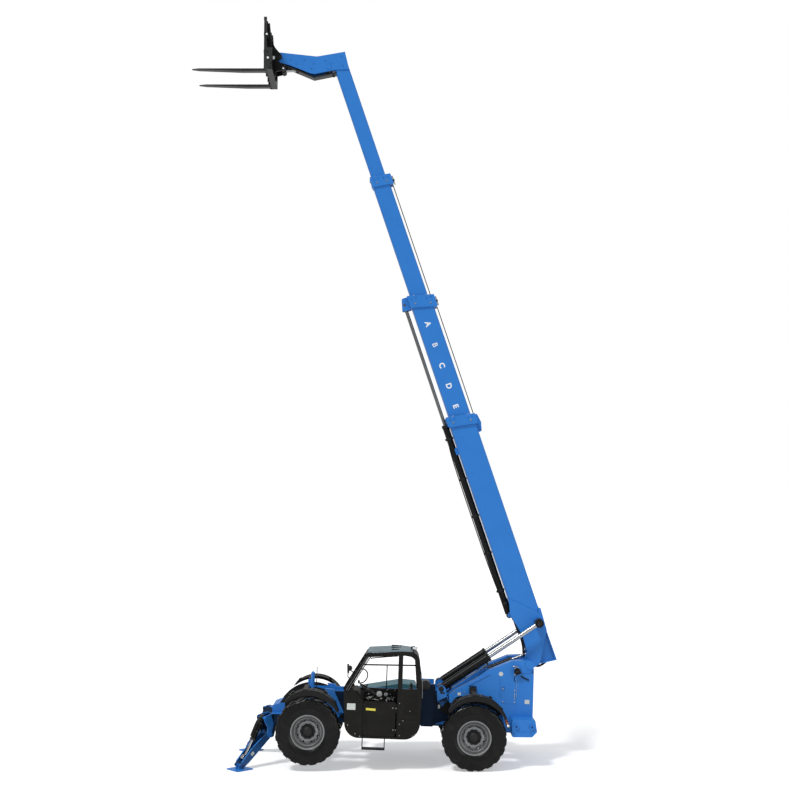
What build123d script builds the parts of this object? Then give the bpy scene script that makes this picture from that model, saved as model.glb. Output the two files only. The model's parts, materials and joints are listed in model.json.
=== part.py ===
"""Telehandler with a four-section boom, pallet forks, front stabilisers and four steered wheels.

Units are millimetres.  The machine is modelled level, with x forward from the rear axle, y to the
machine's left and z up from the ground, and each boom part in the boom's own frame (x along the
boom from its pivot, z away from the ground side).  stand() then sets the machine as it parks: on
its rear tyres and its stabiliser pads, nose slightly up.
"""
from build123d import *
from math import atan2, cos, degrees, hypot, radians, sin, tan
import os

# ---------------------------------------------------------------- stance and running gear
WHEELBASE = 3430
TYRE_R = 675                # over the lugs
TYRE_W = 370
TRACK = 2200                # between the tyres' middle planes
NOSE_UP = 2.0               # degrees, raised on the stabilisers about the rear axle
ORIGIN_X = 2140             # the overall box's middle, ahead of the rear axle
LUG_H = 26
LUGS_A_SIDE = 20
LUG_W = 78
RIM_R = 345                 # over the flange
RIM_W = 300
RIM_T = 16
HUB_R = 150
KINGPIN_Y = TRACK / 2 - 180
STEER_LIMIT = 18            # degrees each way
AXLE_R = 115
GEARBOX_R = 235

# ---------------------------------------------------------------- chassis
FRAME_Y = 360               # outer faces of the two side plates
PLATE = 28
FRAME_TOP = 1400
FRAME_LOW = 745
TOWER_Y = 605               # outer faces of the rear tanks, which carry the boom pivot
PIVOT = (-1180, 2114)       # boom pivot (x, z)
PIVOT_PIN_R = 55
LIFT_BASE = (682, 1551)     # lift cylinders' base pin
LIFT_Y = 450
LEVEL_BASE = (-300, 1925)   # compensating cylinder's base pin
CAB_Y = (372, 1280)
CAB_WALL = 45
BEAM_HALF = 600             # stabiliser beam, to its end plates
BEAM_X = WHEELBASE + 555    # beam's rear face, which the rails meet
CAB_FRONT = WHEELBASE - 714 # cab's foremost point, clear of the front tyre
BAY_FRONT = CAB_FRONT - 156 # engine bay's front wall

# ---------------------------------------------------------------- boom
BOOM_ANGLE = 69.6           # degrees above level, machine level
BOOM_MID = 323              # centre line of every section above the pivot
BOOM_WALL = 11
# section: rear end, front end, half depth, half width
SECTIONS = {
    "boom_section_1": (660, 5400, 277, 190),
    "boom_section_2": (3700, 8200, 237, 157),
    "boom_section_3": (6660, 11060, 190, 126),
    "boom_section_4": (9450, 13980, 158, 100),
}
# collar at a section's front end: rear and front face at the bottom, bottom, top, half width, lean back
COLLARS = {
    "boom_section_1": (5340, 5570, 5, 650, 228, 110),
    "boom_section_2": (8120, 8400, 55, 640, 188, 150),
    "boom_section_3": (10975, 11215, 118, 590, 156, 60),
}
EXTEND_RANGE = (-2.43, 0.70)    # metres, each section on the one before
LIFT_RANGE = (-73.5, 1.0)       # degrees from the working angle, + up
FORK_RANGE = (-88.0, 36.0)      # degrees, + tips down
CHAIN_WAY = 46                  # half width of the chains' way through a collar
CLEAR = 6                       # side gap between a rod's eye and what its pin goes into
PIN_GAP = 0.5                   # radial gap of a pin in its bore

FORK_PIVOT = (14505, -1077)     # in the boom frame
TILT_BASE = (13922, 50)
TILT_PIN = (14202, -938)
EXTEND_BASE = (1060, -45)
EXTEND_EYE = (8235, -45)
LIFT_EYE = (749, 484)
LEVEL_EYE = (164, 152)


# ---------------------------------------------------------------- cylinders
LIFT_R = (86, 48, 1225)         # barrel radius, rod radius, barrel length
LIFT_IN = 1036
EYE_W = 150
EYE_OVER = 6                    # an eye's radius over its barrel's
LIFT_PIN_R = 38
LEVEL_R = (56, 30, 596)
LEVEL_IN = 265
LEVEL_EYE_W = 90
EXTEND_R = 72
EXTEND_ROD_R = 38
EXTEND_L = 4360
EXTEND_IN = 2430
TILT_R = (57, 34, 745)
TILT_IN = 150
TILT_SWING = 0.02               # degrees of barrel swing for each degree of fork tilt
TILT_RATE = -0.235              # metres of stroke for each radian of fork tilt
TILT_EYE_W = 104
TILT_PIN_R = 30

# ---------------------------------------------------------------- stabilisers (s outward, z)
LEG_PLAN = 43               # degrees outward from straight ahead
LEG_HINGE = (BEAM_X + 340, 546, 500)
LEG_REACH = 668
LEG_HALF = 104
LEG_CHEEK = 22
PAD = 390
PAD_T = 22
PAD_RISE = 88               # foot pin above the ground
PAD_PLAY = 3                # the pad's loose fit on its pin
TOP_EYE = (135, 838)
RAM_EYE = (560, 62)         # rod's pin in the leg
LEG_RAM_R = (58, 30, 505)
LEG_RAM_IN = 300
LEG_EYE_W = 90
RAISED = 43.0               # degrees the leg swings up
FOOT_X = LEG_HINGE[0] + LEG_REACH * cos(radians(LEG_PLAN))
FOOT_Z = TYRE_R + (PAD_RISE - TYRE_R - FOOT_X * sin(radians(NOSE_UP))) / cos(radians(NOSE_UP))
FOOT_PIN = (LEG_REACH, FOOT_Z)

# ---------------------------------------------------------------- carriage and forks
CARRIAGE_EAR = 140          # inner faces of the two ears
FORK_PIN_R = 40
FACE_X = 165                # load face ahead of the fork pivot
FORK_DROP = 394             # fork top below the pivot
FORK_T = 58
FORK_W = 130
FORK_L = 1600
FORK_Y = 500
SHANK_X = 112               # shanks' rear faces, against the carriage bars

# ---------------------------------------------------------------- body fittings
FENDER_Y = (945, 1292)
FENDER_T = 14
SKIRT_T = 16
SKIRT = [(-34, 20), (0, 104), (38, 18)]     # skirt's lower edge in from the front tip, top and rear tip
STAY_Y = (606, 470)             # where the rear and front stays start
# axle x, then (x, z) from the wheel centre: front tip, top, rear tip
FENDERS = [
    (0, (545, TYRE_R - 155), (12, TYRE_R + 177), (-655, TYRE_R - 260)),
    (WHEELBASE, (492, TYRE_R - 70), (85, TYRE_R + 170), (-625, TYRE_R - 235)),
]
TIE_DOWNS = [(-1205, 900), (-880, 900)]
TIE_DOWN_R = 24
TIE_DOWN_L = 34
ENGINE_Y = (450, 1240)
DOOR_HINGE = (1616, 1292)       # door's hinge line (x, y)
HOOD_HINGE = (1172, 1400)       # hood's hinge line (x, z)

# ---------------------------------------------------------------- frames
def stand(shape):
    """Set a level-machine shape on its rear tyres and stabilisers, origin under the box's middle."""
    return Pos(-ORIGIN_X, 0, TYRE_R) * Rot(0, -NOSE_UP, 0) * Pos(0, 0, -TYRE_R) * shape


def on_boom(shape):
    """Put a boom-frame shape on the machine."""
    return Pos(PIVOT[0], 0, PIVOT[1]) * Rot(0, -BOOM_ANGLE, 0) * shape


def boom_xz(point):
    """Machine (x, z) of a boom-frame (x, z)."""
    c, s = cos(radians(BOOM_ANGLE)), sin(radians(BOOM_ANGLE))
    return (PIVOT[0] + point[0] * c - point[1] * s, PIVOT[1] + point[0] * s + point[1] * c)


# ---------------------------------------------------------------- general forms
def outline(corners):
    """Face in the XZ plane from a table of (x, z) or (x, z, corner radius)."""
    edges, loop = [], []
    for i, corner in enumerate(corners):
        here = Vector(corner[0], corner[1])
        before, after = Vector(*corners[i - 1][:2]), Vector(*corners[(i + 1) % len(corners)][:2])
        came, goes = (here - before).normalized(), (after - here).normalized()
        half_turn = radians(came.get_angle(goes)) / 2
        radius = corner[2] if len(corner) > 2 else 0
        if radius == 0 or half_turn < 0.01:
            loop.append((here, here, here))
            continue
        room = 0.48 * min((here - before).length, (after - here).length)
        cut = min(radius * tan(half_turn), room)
        sag = cut / tan(half_turn) * (1 / cos(half_turn) - 1)
        loop.append((here - came * cut, here + (goes - came).normalized() * sag, here + goes * cut))
    for i, (start, middle, end) in enumerate(loop):
        if (end - start).length > 0.01:
            edges.append(ThreePointArc(start, middle, end))
        follows = loop[(i + 1) % len(loop)][0]
        if (follows - end).length > 0.01:
            edges.append(Line(end, follows))
    return make_face(Plane.XZ * Wire(edges))


def slab(corners, y_low, y_high):
    """Plate with an XZ outline between two y faces."""
    return Pos(0, y_high, 0) * extrude(outline(corners), y_high - y_low, dir=(0, -1, 0))


def both(shape):
    """A shape and its mirror image across the machine's middle plane."""
    return shape + mirror(shape, about=Plane.XZ)


def brick(x, y, z):
    """Box between pairs of limits."""
    size = (x[1] - x[0], y[1] - y[0], z[1] - z[0])
    return Pos((x[0] + x[1]) / 2, (y[0] + y[1]) / 2, (z[0] + z[1]) / 2) * Box(*size)


def round_y(at, radius, y_low, y_high):
    """Round bar along y through (x, z)."""
    bar = Rot(90, 0, 0) * Cylinder(radius, y_high - y_low)
    return Pos(at[0], (y_low + y_high) / 2, at[1]) * bar


def rod_between(a, b, radius):
    """Round bar from one (x, y, z) to another."""
    start, end = Vector(*a), Vector(*b)
    plane = Plane(origin=start, z_dir=end - start)
    return extrude(plane * Circle(radius), (end - start).length)


def bent_bar(points, radius, bend):
    """Round bar along straight runs joined by bends."""
    path = FilletPolyline(*points, radius=bend)
    start = Plane(origin=path @ 0, z_dir=path % 0)
    return sweep(start * Circle(radius), path)


def angle_xz(a, b):
    """Degrees above level of the line from (x, z) a to b."""
    return degrees(atan2(b[1] - a[1], b[0] - a[0]))


def length_xz(a, b):
    return hypot(b[0] - a[0], b[1] - a[1])


def along(a, b, shape):
    """Put a shape drawn along +x from the origin on the (x, z) line from a towards b."""
    return Pos(a[0], 0, a[1]) * Rot(0, -angle_xz(a, b), 0) * shape


# ---------------------------------------------------------------- wheels and axles
def tyre():
    """Tyre about the y axis with two rows of slanted lugs, middle plane at y = 0."""
    tread, half, bead = TYRE_R - LUG_H, TYRE_W / 2, RIM_R - 42
    side = [
        (bead, -RIM_W / 2 + 32), (RIM_R + 3, -RIM_W / 2 + 26), (RIM_R + 12, -half + 24), (bead + 140, -half + 2),
        (tread - 95, -half), (tread - 22, -half + 26), (tread, -half + 80),
    ]
    section = side + [(r, -y) for r, y in reversed(side)]
    face = make_face(Plane.XY * Polyline(*section, close=True))
    carcass = revolve(face, Axis.Y)
    lug_face = make_face(Polyline(
        (half * 0.08, -LUG_W * 0.45), (half - 4, -LUG_W / 2), (half - 4, LUG_W / 2), (half * 0.08, LUG_W * 0.2),
        close=True))
    lug = extrude(lug_face, LUG_H + 70, taper=3)
    low = tread - 70
    lugs = []
    for row in (1, -1):
        for i in range(LUGS_A_SIDE):
            turn = 360 * (i + (0.5 if row < 0 else 0)) / LUGS_A_SIDE
            skewed = Rot(0, 0, 18) * lug
            piece = skewed if row > 0 else mirror(skewed, about=Plane.YZ)
            lugs.append(Rot(0, turn, 0) * Pos(0, 0, low) * Rot(0, 0, 90) * piece)
    body = carcass + lugs
    limit = Rot(90, 0, 0) * Cylinder(TYRE_R, TYRE_W)
    return body & limit


def rim(outward):
    """Wheel rim about the y axis: dished barrel, disc, hub cover and hub nuts, outer face at +y."""
    half, drop = RIM_W / 2, RIM_R - 52
    barrel = [
        (RIM_R, half), (RIM_R - 8, half - 20), (drop + 8, half - 26), (drop, half - 120),
        (drop, -half + 26), (RIM_R - 8, -half + 20), (RIM_R, -half),
    ]
    inner = [(r - RIM_T, y) for r, y in reversed(barrel)]
    shell = revolve(make_face(Plane.XY * Polyline(*(barrel + inner), close=True)), Axis.Y)
    disc = [(0, 12), (205, 12), (235, 48), (drop - 4, 66), (drop - 4, 46), (245, 26), (215, -8), (0, -8)]
    dish = revolve(make_face(Plane.XY * Polyline(*disc, close=True)), Axis.Y)
    for i in range(8):
        hole = Rot(90, 0, 0) * Cylinder(20, 200)
        dish -= Rot(0, 22.5 + 45 * i, 0) * Pos(222, 30, 0) * hole
    hub = [(0, 92), (70, 92), (86, 78), (98, 30), (HUB_R, 26), (HUB_R, 10), (0, 10)]
    body = shell + dish + revolve(make_face(Plane.XY * Polyline(*hub, close=True)), Axis.Y)
    for i in range(10):
        nut = Rot(90, 0, 0) * Cylinder(14, 34)
        body += Rot(0, 36 * i, 0) * Pos(HUB_R - 24, 30, 0) * nut
    return body if outward > 0 else mirror(body, about=Plane.XZ)


def knuckle(side):
    """Steering knuckle: swivel housing on the kingpin and the hub that carries the rim."""
    housing = Cylinder(98, 210) + Sphere(118)
    housing = housing & Box(400, 400, 210)
    hub = round_y((0, 0), 102, 40, TRACK / 2 - KINGPIN_Y - 10)
    arm = slab([(-60, -70), (-60, -30), (-235, -30, 15), (-235, -70, 15)], -60, -5)
    body = housing + hub + arm
    body -= Cylinder(30, 300)
    return body if side > 0 else mirror(body, about=Plane.XZ)


def axle_beam():
    """Driven steering axle about its own centre: beam, gearbox and a yoke at each kingpin."""
    reach = KINGPIN_Y - 135
    profile = [(0, 0), (90, 0), (AXLE_R, reach - 120), (100, reach), (0, reach)]
    beam = revolve(make_face(Plane.XY * Polyline(*profile, close=True)), Axis.Y)
    gearbox = [(0, 0), (GEARBOX_R, 0), (GEARBOX_R, 90), (170, 190), (100, 260), (0, 260)]
    case = revolve(make_face(Plane.XY * Polyline(*gearbox, close=True)), Axis.Y)
    yoke = slab([(-80, -155, 20), (80, -155, 20), (80, 155, 20), (-80, 155, 20)], reach - 40, KINGPIN_Y + 75)
    yoke = yoke & (Pos(0, KINGPIN_Y - 70, 0) * Box(400, 500, 400))
    gap = Pos(0, KINGPIN_Y, 0) * (Cylinder(128, 222) + Pos(0, 150, 0) * Box(256, 300, 222))
    yoke = yoke - gap
    pin = Pos(0, KINGPIN_Y, 0) * Cylinder(30 - PIN_GAP, 300)
    cap = Pos(0, KINGPIN_Y, 0) * Cylinder(62, 20)
    caps = Pos(0, 0, 158) * cap + Pos(0, 0, -158) * cap
    return both(beam + case + yoke + pin + caps)


# ---------------------------------------------------------------- chassis
def chassis_frame():
    """Two long side plates, cross members, rear tower plates and the cylinders' base lugs."""
    rail = [
        (-1150, 760, 60), (-1240, 1000), (-1266, 2030, 60), (-1130, 2215, 90), (-1000, 2190), (-560, 2040),
        (-180, 1960, 40), (0, 1700), (420, FRAME_TOP), (BEAM_X - 560, FRAME_TOP, 60), (BEAM_X, 1115), (BEAM_X, 930),
        (WHEELBASE - 280, 930, 60), (WHEELBASE - 420, FRAME_LOW, 80), (560, FRAME_LOW, 80), (430, 930, 60),
        (-430, 930, 60), (-600, 760, 60),
    ]
    body = both(slab(rail, FRAME_Y - PLATE, FRAME_Y))
    cross = [  # x from, x to, z from, z to
        (-1200, -1172, 850, 1800), (-700, -672, 850, 1500), (620, 648, 760, 1380), (1500, 1528, 760, 1380),
        (WHEELBASE - 830, WHEELBASE - 802, 760, 1380), (BEAM_X - 85, BEAM_X - 57, 950, 1120),
    ]
    for x0, x1, z0, z1 in cross:
        body += brick((x0, x1), (-FRAME_Y + 4, FRAME_Y - 4), (z0, z1))
    body += brick((634, WHEELBASE - 816), (-FRAME_Y + 4, FRAME_Y - 4), (FRAME_LOW + 5, FRAME_LOW + 20))
    for x in (0, WHEELBASE):     # axle seats under the rails
        body += both(brick((x - 130, x + 130), (FRAME_Y - 110, FRAME_Y), (TYRE_R + AXLE_R, 945)))
    body += lift_lugs() + level_lugs()
    side_box = slab([(802, 1622), (1088, 1622), (1088, 735), (840, 735), (802, 780)], FRAME_Y - 2, 418)
    body += both(side_box)
    x = WHEELBASE
    body += both(slab([(x - 290, 1455), (x - 470, 1440), (x - 710, 960), (x - 570, 960)], FRAME_Y - 2, 440))
    post = Pos(x - 20, 420, 1580) * Cylinder(40, 370) + Pos(x - 20, 420, 1765) * Sphere(40)
    foot = brick((x - 60, x + 20), (FRAME_Y - 2, 456), (1340, 1400))
    perch = brick((WHEELBASE + 40, WHEELBASE + 130), (FRAME_Y - 2, STAY_Y[1]), (1340, TYRE_R + 846))
    body += post + foot + both(perch)
    return body + round_y(PIVOT, PIVOT_PIN_R - PIN_GAP, -TOWER_Y + 32, TOWER_Y - 32)


def lift_lugs():
    """Pairs of lugs that hold the lift cylinders' base pins outside the rails."""
    x, z = LIFT_BASE
    lug = [(x - 150, 1290), (x - 95, z + 20, 60), (x - 10, z + 92, 80), (x + 95, z + 20, 60), (x + 75, 1290)]
    inner = slab(lug, FRAME_Y - 2, FRAME_Y + 4)
    outer = slab(lug, 538, 562)
    seat = brick((x - 150, x + 75), (FRAME_Y - 2, 562), (1290, 1395))
    pin = round_y(LIFT_BASE, 38, FRAME_Y - 20, 574)
    return both(inner + outer + seat + pin)


def level_lugs():
    """Lugs and pin between the rails for the compensating cylinder's base."""
    x, z = LEVEL_BASE
    lug = [(x - 190, 1650), (x - 60, z, 50), (x, z + 62, 40), (x + 60, z, 50), (x + 90, 1650)]
    seat = brick((x - 190, x + 90), (-FRAME_Y + 4, FRAME_Y - 4), (1630, 1660))
    return seat + both(slab(lug, 66, 88)) + round_y(LEVEL_BASE, 28, -96, 96)


def side_tanks():
    """Rear tanks outside the rails, whose outer plates carry the boom pivot, with a filler each."""
    tank = [
        (-1266, 2030, 50), (-1180, 2214, 100), (-797, 2186, 60), (-290, 1965), (-25, 1763), (183, 1652),
        (391, 1541), (520, 1440, 30), (500, 1180, 60), (380, 1420, 260), (-380, 1420, 260), (-640, 1010, 80),
        (-690, 700), (-1180, 700, 60), (-1262, 1000),
    ]
    y0, y1 = FRAME_Y + 1, TOWER_Y
    body = slab(tank, y0, y1)
    body -= round_y(PIVOT, 150, y0 - 1, y1 - 30)
    body += round_y(PIVOT, 92, y1 - 30, y1 + 16)
    neck = round_y((-905, 1985), 44, y1 - 4, y1 + 46) + round_y((-905, 1985), 60, y1 + 44, y1 + 74)
    guard = slab([(-990, 2065, 30), (-845, 2080, 30), (-860, 2040), (-960, 2030)], y1 - 2, y1 + 90)
    ribs = brick((-560, -548), (y1 - 4, y1 + 6), (1420, 1800)) + brick((-900, -888), (y1 - 4, y1 + 6), (1420, 1800))
    body += neck + guard + ribs
    return both(body)


def counterweight():
    """Cast block across the tail, ahead of it the frame and the tanks."""
    block = [(-1272, 1045, 30), (-1316, 800, 30), (-1215, 690, 40), (-795, 678, 30), (-795, 1045, 60)]
    body = slab(block, -1000, 1000)
    body -= slab([(-1400, 1100), (-1400, 900), (-640, 640), (-640, 1100)], -FRAME_Y - 2, FRAME_Y + 2)
    body += slab([(-1200, 790), (-1200, 700, 30), (-760, 690, 30), (-760, 790)], -FRAME_Y - 4, FRAME_Y + 4)
    for side in (1, -1):
        y = sorted((side * (TOWER_Y + 3), side * (FRAME_Y - 30)))
        body -= brick((-1272, -640), y, (600, 1100))
    return body


def tie_downs():
    """Four thick rings on the counterweight's end faces, one for each tie-down hook."""
    rear, front = [
        round_y(at, TIE_DOWN_R + 26, 1000, 1000 + TIE_DOWN_L) - round_y(at, TIE_DOWN_R, 990, 1100) for at in TIE_DOWNS
    ]
    return both(rear + front)


def fender(axle_x, stay_y, front, top, rear):
    """Arched guard over one left wheel, inner corners cut back for steering, on two stays."""
    def arch(offset):
        return [(axle_x + p[0] * (1 + offset / 700), TYRE_R + p[1] + offset * 0.9) for p in (front, top, rear)]
    outer, inner = arch(0), arch(-FENDER_T)
    edge = Plane.XZ * (
        ThreePointArc(*outer) + Line(outer[2], inner[2]) + ThreePointArc(*reversed(inner)) + Line(inner[0], outer[0])
    )
    band = Pos(0, FENDER_Y[1], 0) * extrude(make_face(edge), FENDER_Y[1] - FENDER_Y[0], dir=(0, -1, 0))
    low = [(axle_x + p[0] + dx, TYRE_R + p[1] - dz) for p, (dx, dz) in zip((front, top, rear), SKIRT)]
    skirt_edge = Plane.XZ * (
        ThreePointArc(*outer) + Line(outer[2], low[2]) + ThreePointArc(*reversed(low)) + Line(low[0], outer[0])
    )
    skirt = Pos(0, FENDER_Y[1], 0) * extrude(make_face(skirt_edge), SKIRT_T, dir=(0, -1, 0))
    for tip, way in ((front, 1), (rear, -1)):
        wedge = Polyline((0, 0), (way * 420, 0), (way * 420, 330), (way * 40, -60), close=True)
        cut = extrude(make_face(wedge), 1400)
        band -= Pos(axle_x + way * (abs(tip[0]) - 210), FENDER_Y[0] - 20, TYRE_R) * cut
    top_z = TYRE_R + top[1]
    stay_x = axle_x + top[0]
    stay = brick((stay_x - 45, stay_x + 45), (stay_y, FENDER_Y[1] - 60), (top_z - 4, top_z + 18))
    return band + skirt + stay


def fenders():
    shapes = []
    for row, stay_y in zip(FENDERS, STAY_Y):
        shapes.append(both(fender(row[0], stay_y, *row[1:])))
    return shapes[0] + shapes[1]


# ---------------------------------------------------------------- stabilisers
def splay(shape, side):
    """Put a stabiliser shape (x outward, z up, origin under the leg's hinge) on one side."""
    placed = Pos(LEG_HINGE[0], LEG_HINGE[1], 0) * Rot(0, 0, LEG_PLAN) * shape
    return placed if side > 0 else mirror(placed, about=Plane.XZ)


def stabiliser_beam():
    """Cross beam under the nose with a splayed bracket of two cheeks at each end."""
    x = BEAM_X
    nose = slab([(x, 1120, 20), (x + 105, 1115), (x + 268, 1052, 20), (x + 260, 850, 20), (x, 860, 20)],
                -FRAME_Y - 20, FRAME_Y + 20)
    beam = slab([(x + 20, 915, 30), (x + 262, 915, 30), (x + 262, 720, 30), (x + 20, 720, 30)],
                -BEAM_HALF, BEAM_HALF)
    cheek = [
        (-150, 920, 40), (25, 915, 40), (TOP_EYE[0] + 58, TOP_EYE[1] + 34, 45),
        (TOP_EYE[0] + 44, TOP_EYE[1] - 52, 40),
        (85, 640), (75, 435, 60), (-75, 435, 60), (-150, 700),
    ]
    bracket = slab(cheek, 112, 112 + LEG_CHEEK) + slab(cheek, -112 - LEG_CHEEK, -112)
    web = brick((-150, -122), (-113, 113), (560, 900))
    pins = round_y((0, LEG_HINGE[2]), 36, -150, 150) + round_y(TOP_EYE, 30, -146, 146)
    arm = bracket + web + pins
    return nose + beam + splay(arm, 1) + splay(arm, -1)


def leg(side):
    """Channel leg from its hinge tube to the foot fork, open on top for the cylinder."""
    reach, drop = FOOT_PIN[0], LEG_HINGE[2] - FOOT_PIN[1]
    slope = (reach ** 2 + drop ** 2) ** 0.5
    side_plate = [(-62, -40, 40), (-62, 60, 50), (60, 78), (slope * 0.55, 105), (slope + 60, 52, 30),
                  (slope + 44, -46, 40), (slope - 120, -62), (60, -66)]
    y1 = LEG_HALF
    body = slab(side_plate, y1 - 16, y1) + slab(side_plate, -y1, -y1 + 16)
    body += brick((70, slope - 130), (-y1, y1), (-66, -50))
    body += round_y((0, 0), 60, -y1, y1) - round_y((0, 0), 36 + PIN_GAP, -200, 200)
    body -= round_y((0, 0), 36 + PIN_GAP, -200, 200)
    body += round_y((slope, 0), 24, -y1 - 12, y1 + 12)
    body = Pos(0, 0, LEG_HINGE[2]) * Rot(0, degrees(atan2(drop, reach)), 0) * body
    return splay(body, side)


def foot_pad(side):
    """Square ground plate on two ears, made level on the ground under the foot pin."""
    plate = Pos(0, 0, PAD_T / 2) * Box(PAD, PAD, PAD_T)
    ear = slab([(-85, 8), (-30, PAD_RISE + 34, 30), (30, PAD_RISE + 34, 30), (85, 8)], 30, 48)
    boss = round_y((0, PAD_RISE), 38, 30, 48)
    body = plate + both(ear + boss)
    body -= round_y((0, PAD_RISE), 24 + PAD_PLAY, -60, 60)
    at = foot_pin_place(side)
    turned = Rot(0, 0, LEG_PLAN * side) * body
    return Pos(at.X, at.Y, at.Z - PAD_RISE) * turned


def foot_pin_place(side):
    """Foot pin's centre, standing."""
    c, s = cos(radians(LEG_PLAN)), sin(radians(LEG_PLAN))
    level = (LEG_HINGE[0] + FOOT_PIN[0] * c, side * (LEG_HINGE[1] + FOOT_PIN[0] * s), FOOT_PIN[1])
    return (stand(Pos(*level) * Vertex())).center()


def ram(length, barrel_r, rod_r, reach, eye_r, eye_w, pin_r, inward):
    """Hydraulic cylinder along +x: (barrel with base eye, rod with end eye).

    length is the barrel's, reach the distance between the eyes, inward the rod's travel into it.
    """
    back = eye_r * 0.8
    tube = Pos((back + length) / 2, 0, 0) * Rot(0, 90, 0) * Cylinder(barrel_r, length - back)
    gland = Pos(length - 22, 0, 0) * Rot(0, 90, 0) * Cylinder(barrel_r + 7, 44)
    bore = Pos((eye_r + 30 + length) / 2, 0, 0) * Rot(0, 90, 0) * Cylinder(rod_r + PIN_GAP, length - eye_r - 30)
    base = round_y((0, 0), eye_r, -eye_w / 2, eye_w / 2)
    barrel = tube + gland + base - bore - round_y((0, 0), pin_r + PIN_GAP, -eye_w, eye_w)
    start, end = eye_r + 40 + inward, reach - eye_r * 0.7
    bar = Pos((start + end) / 2, 0, 0) * Rot(0, 90, 0) * Cylinder(rod_r, end - start)
    eye = round_y((reach, 0), eye_r, -eye_w / 2, eye_w / 2)
    return barrel, bar + eye


# ---------------------------------------------------------------- boom
def box_tube(u0, u1, half_depth, half_width):
    """Hollow boom section with chamfered corners, about the common centre line."""
    def block(grow):
        plane = Plane(origin=(u0, 0, BOOM_MID), x_dir=(0, 1, 0), z_dir=(1, 0, 0))
        w, d, c = half_width + grow, half_depth + grow, 26 + grow * 0.6
        ring = [(-w + c, -d), (w - c, -d), (w, -d + c), (w, d - c),
                (w - c, d), (-w + c, d), (-w, d - c), (-w, -d + c)]
        return extrude(make_face(plane * Polyline(*ring, close=True)), u1 - u0)
    return block(0) - block(-BOOM_WALL)


def collar(name):
    """Wear-pad collar round a section's front end, open for the next section."""
    u0, u1, low, high, half, lean = COLLARS[name]
    _, _, half_depth, half_width = SECTIONS[name]
    side = [(u0, low, 20), (u1, low, 20), (u1 - lean, high, 20), (u0 - lean, high, 20)]
    ring = slab(side, -half, half)
    inner = (u0 - lean - 60, half_depth - BOOM_WALL, half_width - BOOM_WALL)
    ring -= brick((inner[0], u1 + 60), (-inner[2], inner[2]), (BOOM_MID - inner[1], BOOM_MID + inner[1]))
    # way through the top for the chain run
    ring -= brick((inner[0], u1 + 60), (-CHAIN_WAY, CHAIN_WAY), (BOOM_MID + half_depth, BOOM_MID + half_depth + 50))
    if name == "boom_section_1":
        ring -= Pos(u0, 0, EXTEND_BASE[1]) * Rot(0, 90, 0) * Cylinder(EXTEND_R + 12, 3000)
    return ring


def boom_section_1():
    u0, u1, depth, width = SECTIONS["boom_section_1"]
    body = box_tube(u0, u1, depth, width) + collar("boom_section_1")
    # raised guide for the chain run over the collar
    guide = slab([(5050, 592), (5050, 680, 20), (5240, 730, 20), (5440, 700, 20), (5450, 592)], -62, 62)
    body += guide - brick((5000, 5500), (-CHAIN_WAY, CHAIN_WAY), (600, 676))
    cheek = [(-100, 235, 30), (529, 611, 60), (1090, 640, 30), (950, 560), (1420, 48), (1101, -29, 60),
             (589, 74, 60), (230, 60), (95, -95, 80), (-95, -95, 80), (-140, 60)]
    body += both(slab(cheek, width - 2, width + 34))
    back = [(-142, 613), (-100, 240), (-76, 246), (-112, 585), (u0 + 20, 585), (u0 + 20, 604)]
    body += slab(back, -width + 4, width - 4)
    web = [(-140, 609), (-100, 240), (560, 609)]    # recessed side webs between the cheeks and the back plate
    body += both(slab(web, 118, 138))
    hub = round_y((0, 0), 92, -FRAME_Y + PLATE + 4, FRAME_Y - PLATE - 4)
    body += hub
    body += both(round_y(LIFT_EYE, 88, width + 30, LIFT_Y - EYE_W / 2 - CLEAR))
    body += both(round_y(LEVEL_EYE, 56, LEVEL_EYE_W / 2 + CLEAR, width - 1))
    base = slab([(960, 60), (EXTEND_BASE[0] - 10, EXTEND_BASE[1] - 62, 40), (EXTEND_BASE[0] + 62, EXTEND_BASE[1], 40),
                 (EXTEND_BASE[0] + 90, 60)], -100, 100)
    base -= brick((900, 1300), (-76, 76), (-200, 47))
    body += base + round_y(EXTEND_BASE, 28, -100, 100)
    saddle = slab([(4700, 60), (4720, -20), (4860, -20), (4880, 60)], -90, 90)
    saddle -= Pos(4790, 0, EXTEND_BASE[1]) * Rot(0, 90, 0) * Cylinder(EXTEND_R + PIN_GAP, 400)
    body += saddle
    return body - round_y((0, 0), PIVOT_PIN_R, -600, 600)


def inner_section(name):
    """Second or third section: tube and collar, with a lug for the extension rod on the second."""
    u0, u1, depth, width = SECTIONS[name]
    body = box_tube(u0, u1, depth, width) + collar(name)
    if name == "boom_section_2":
        x, z = EXTEND_EYE
        half = 70 + CLEAR
        lug = slab([(x - 140, 70), (x - 140, z - 20, 20), (x - 105, z - 88, 20), (x + 148, z - 20, 20), (x + 150, 70)],
                   half, half + 22)
        body += both(lug) - round_y(EXTEND_EYE, 28 + PIN_GAP, -200, 200)
    return body


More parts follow.
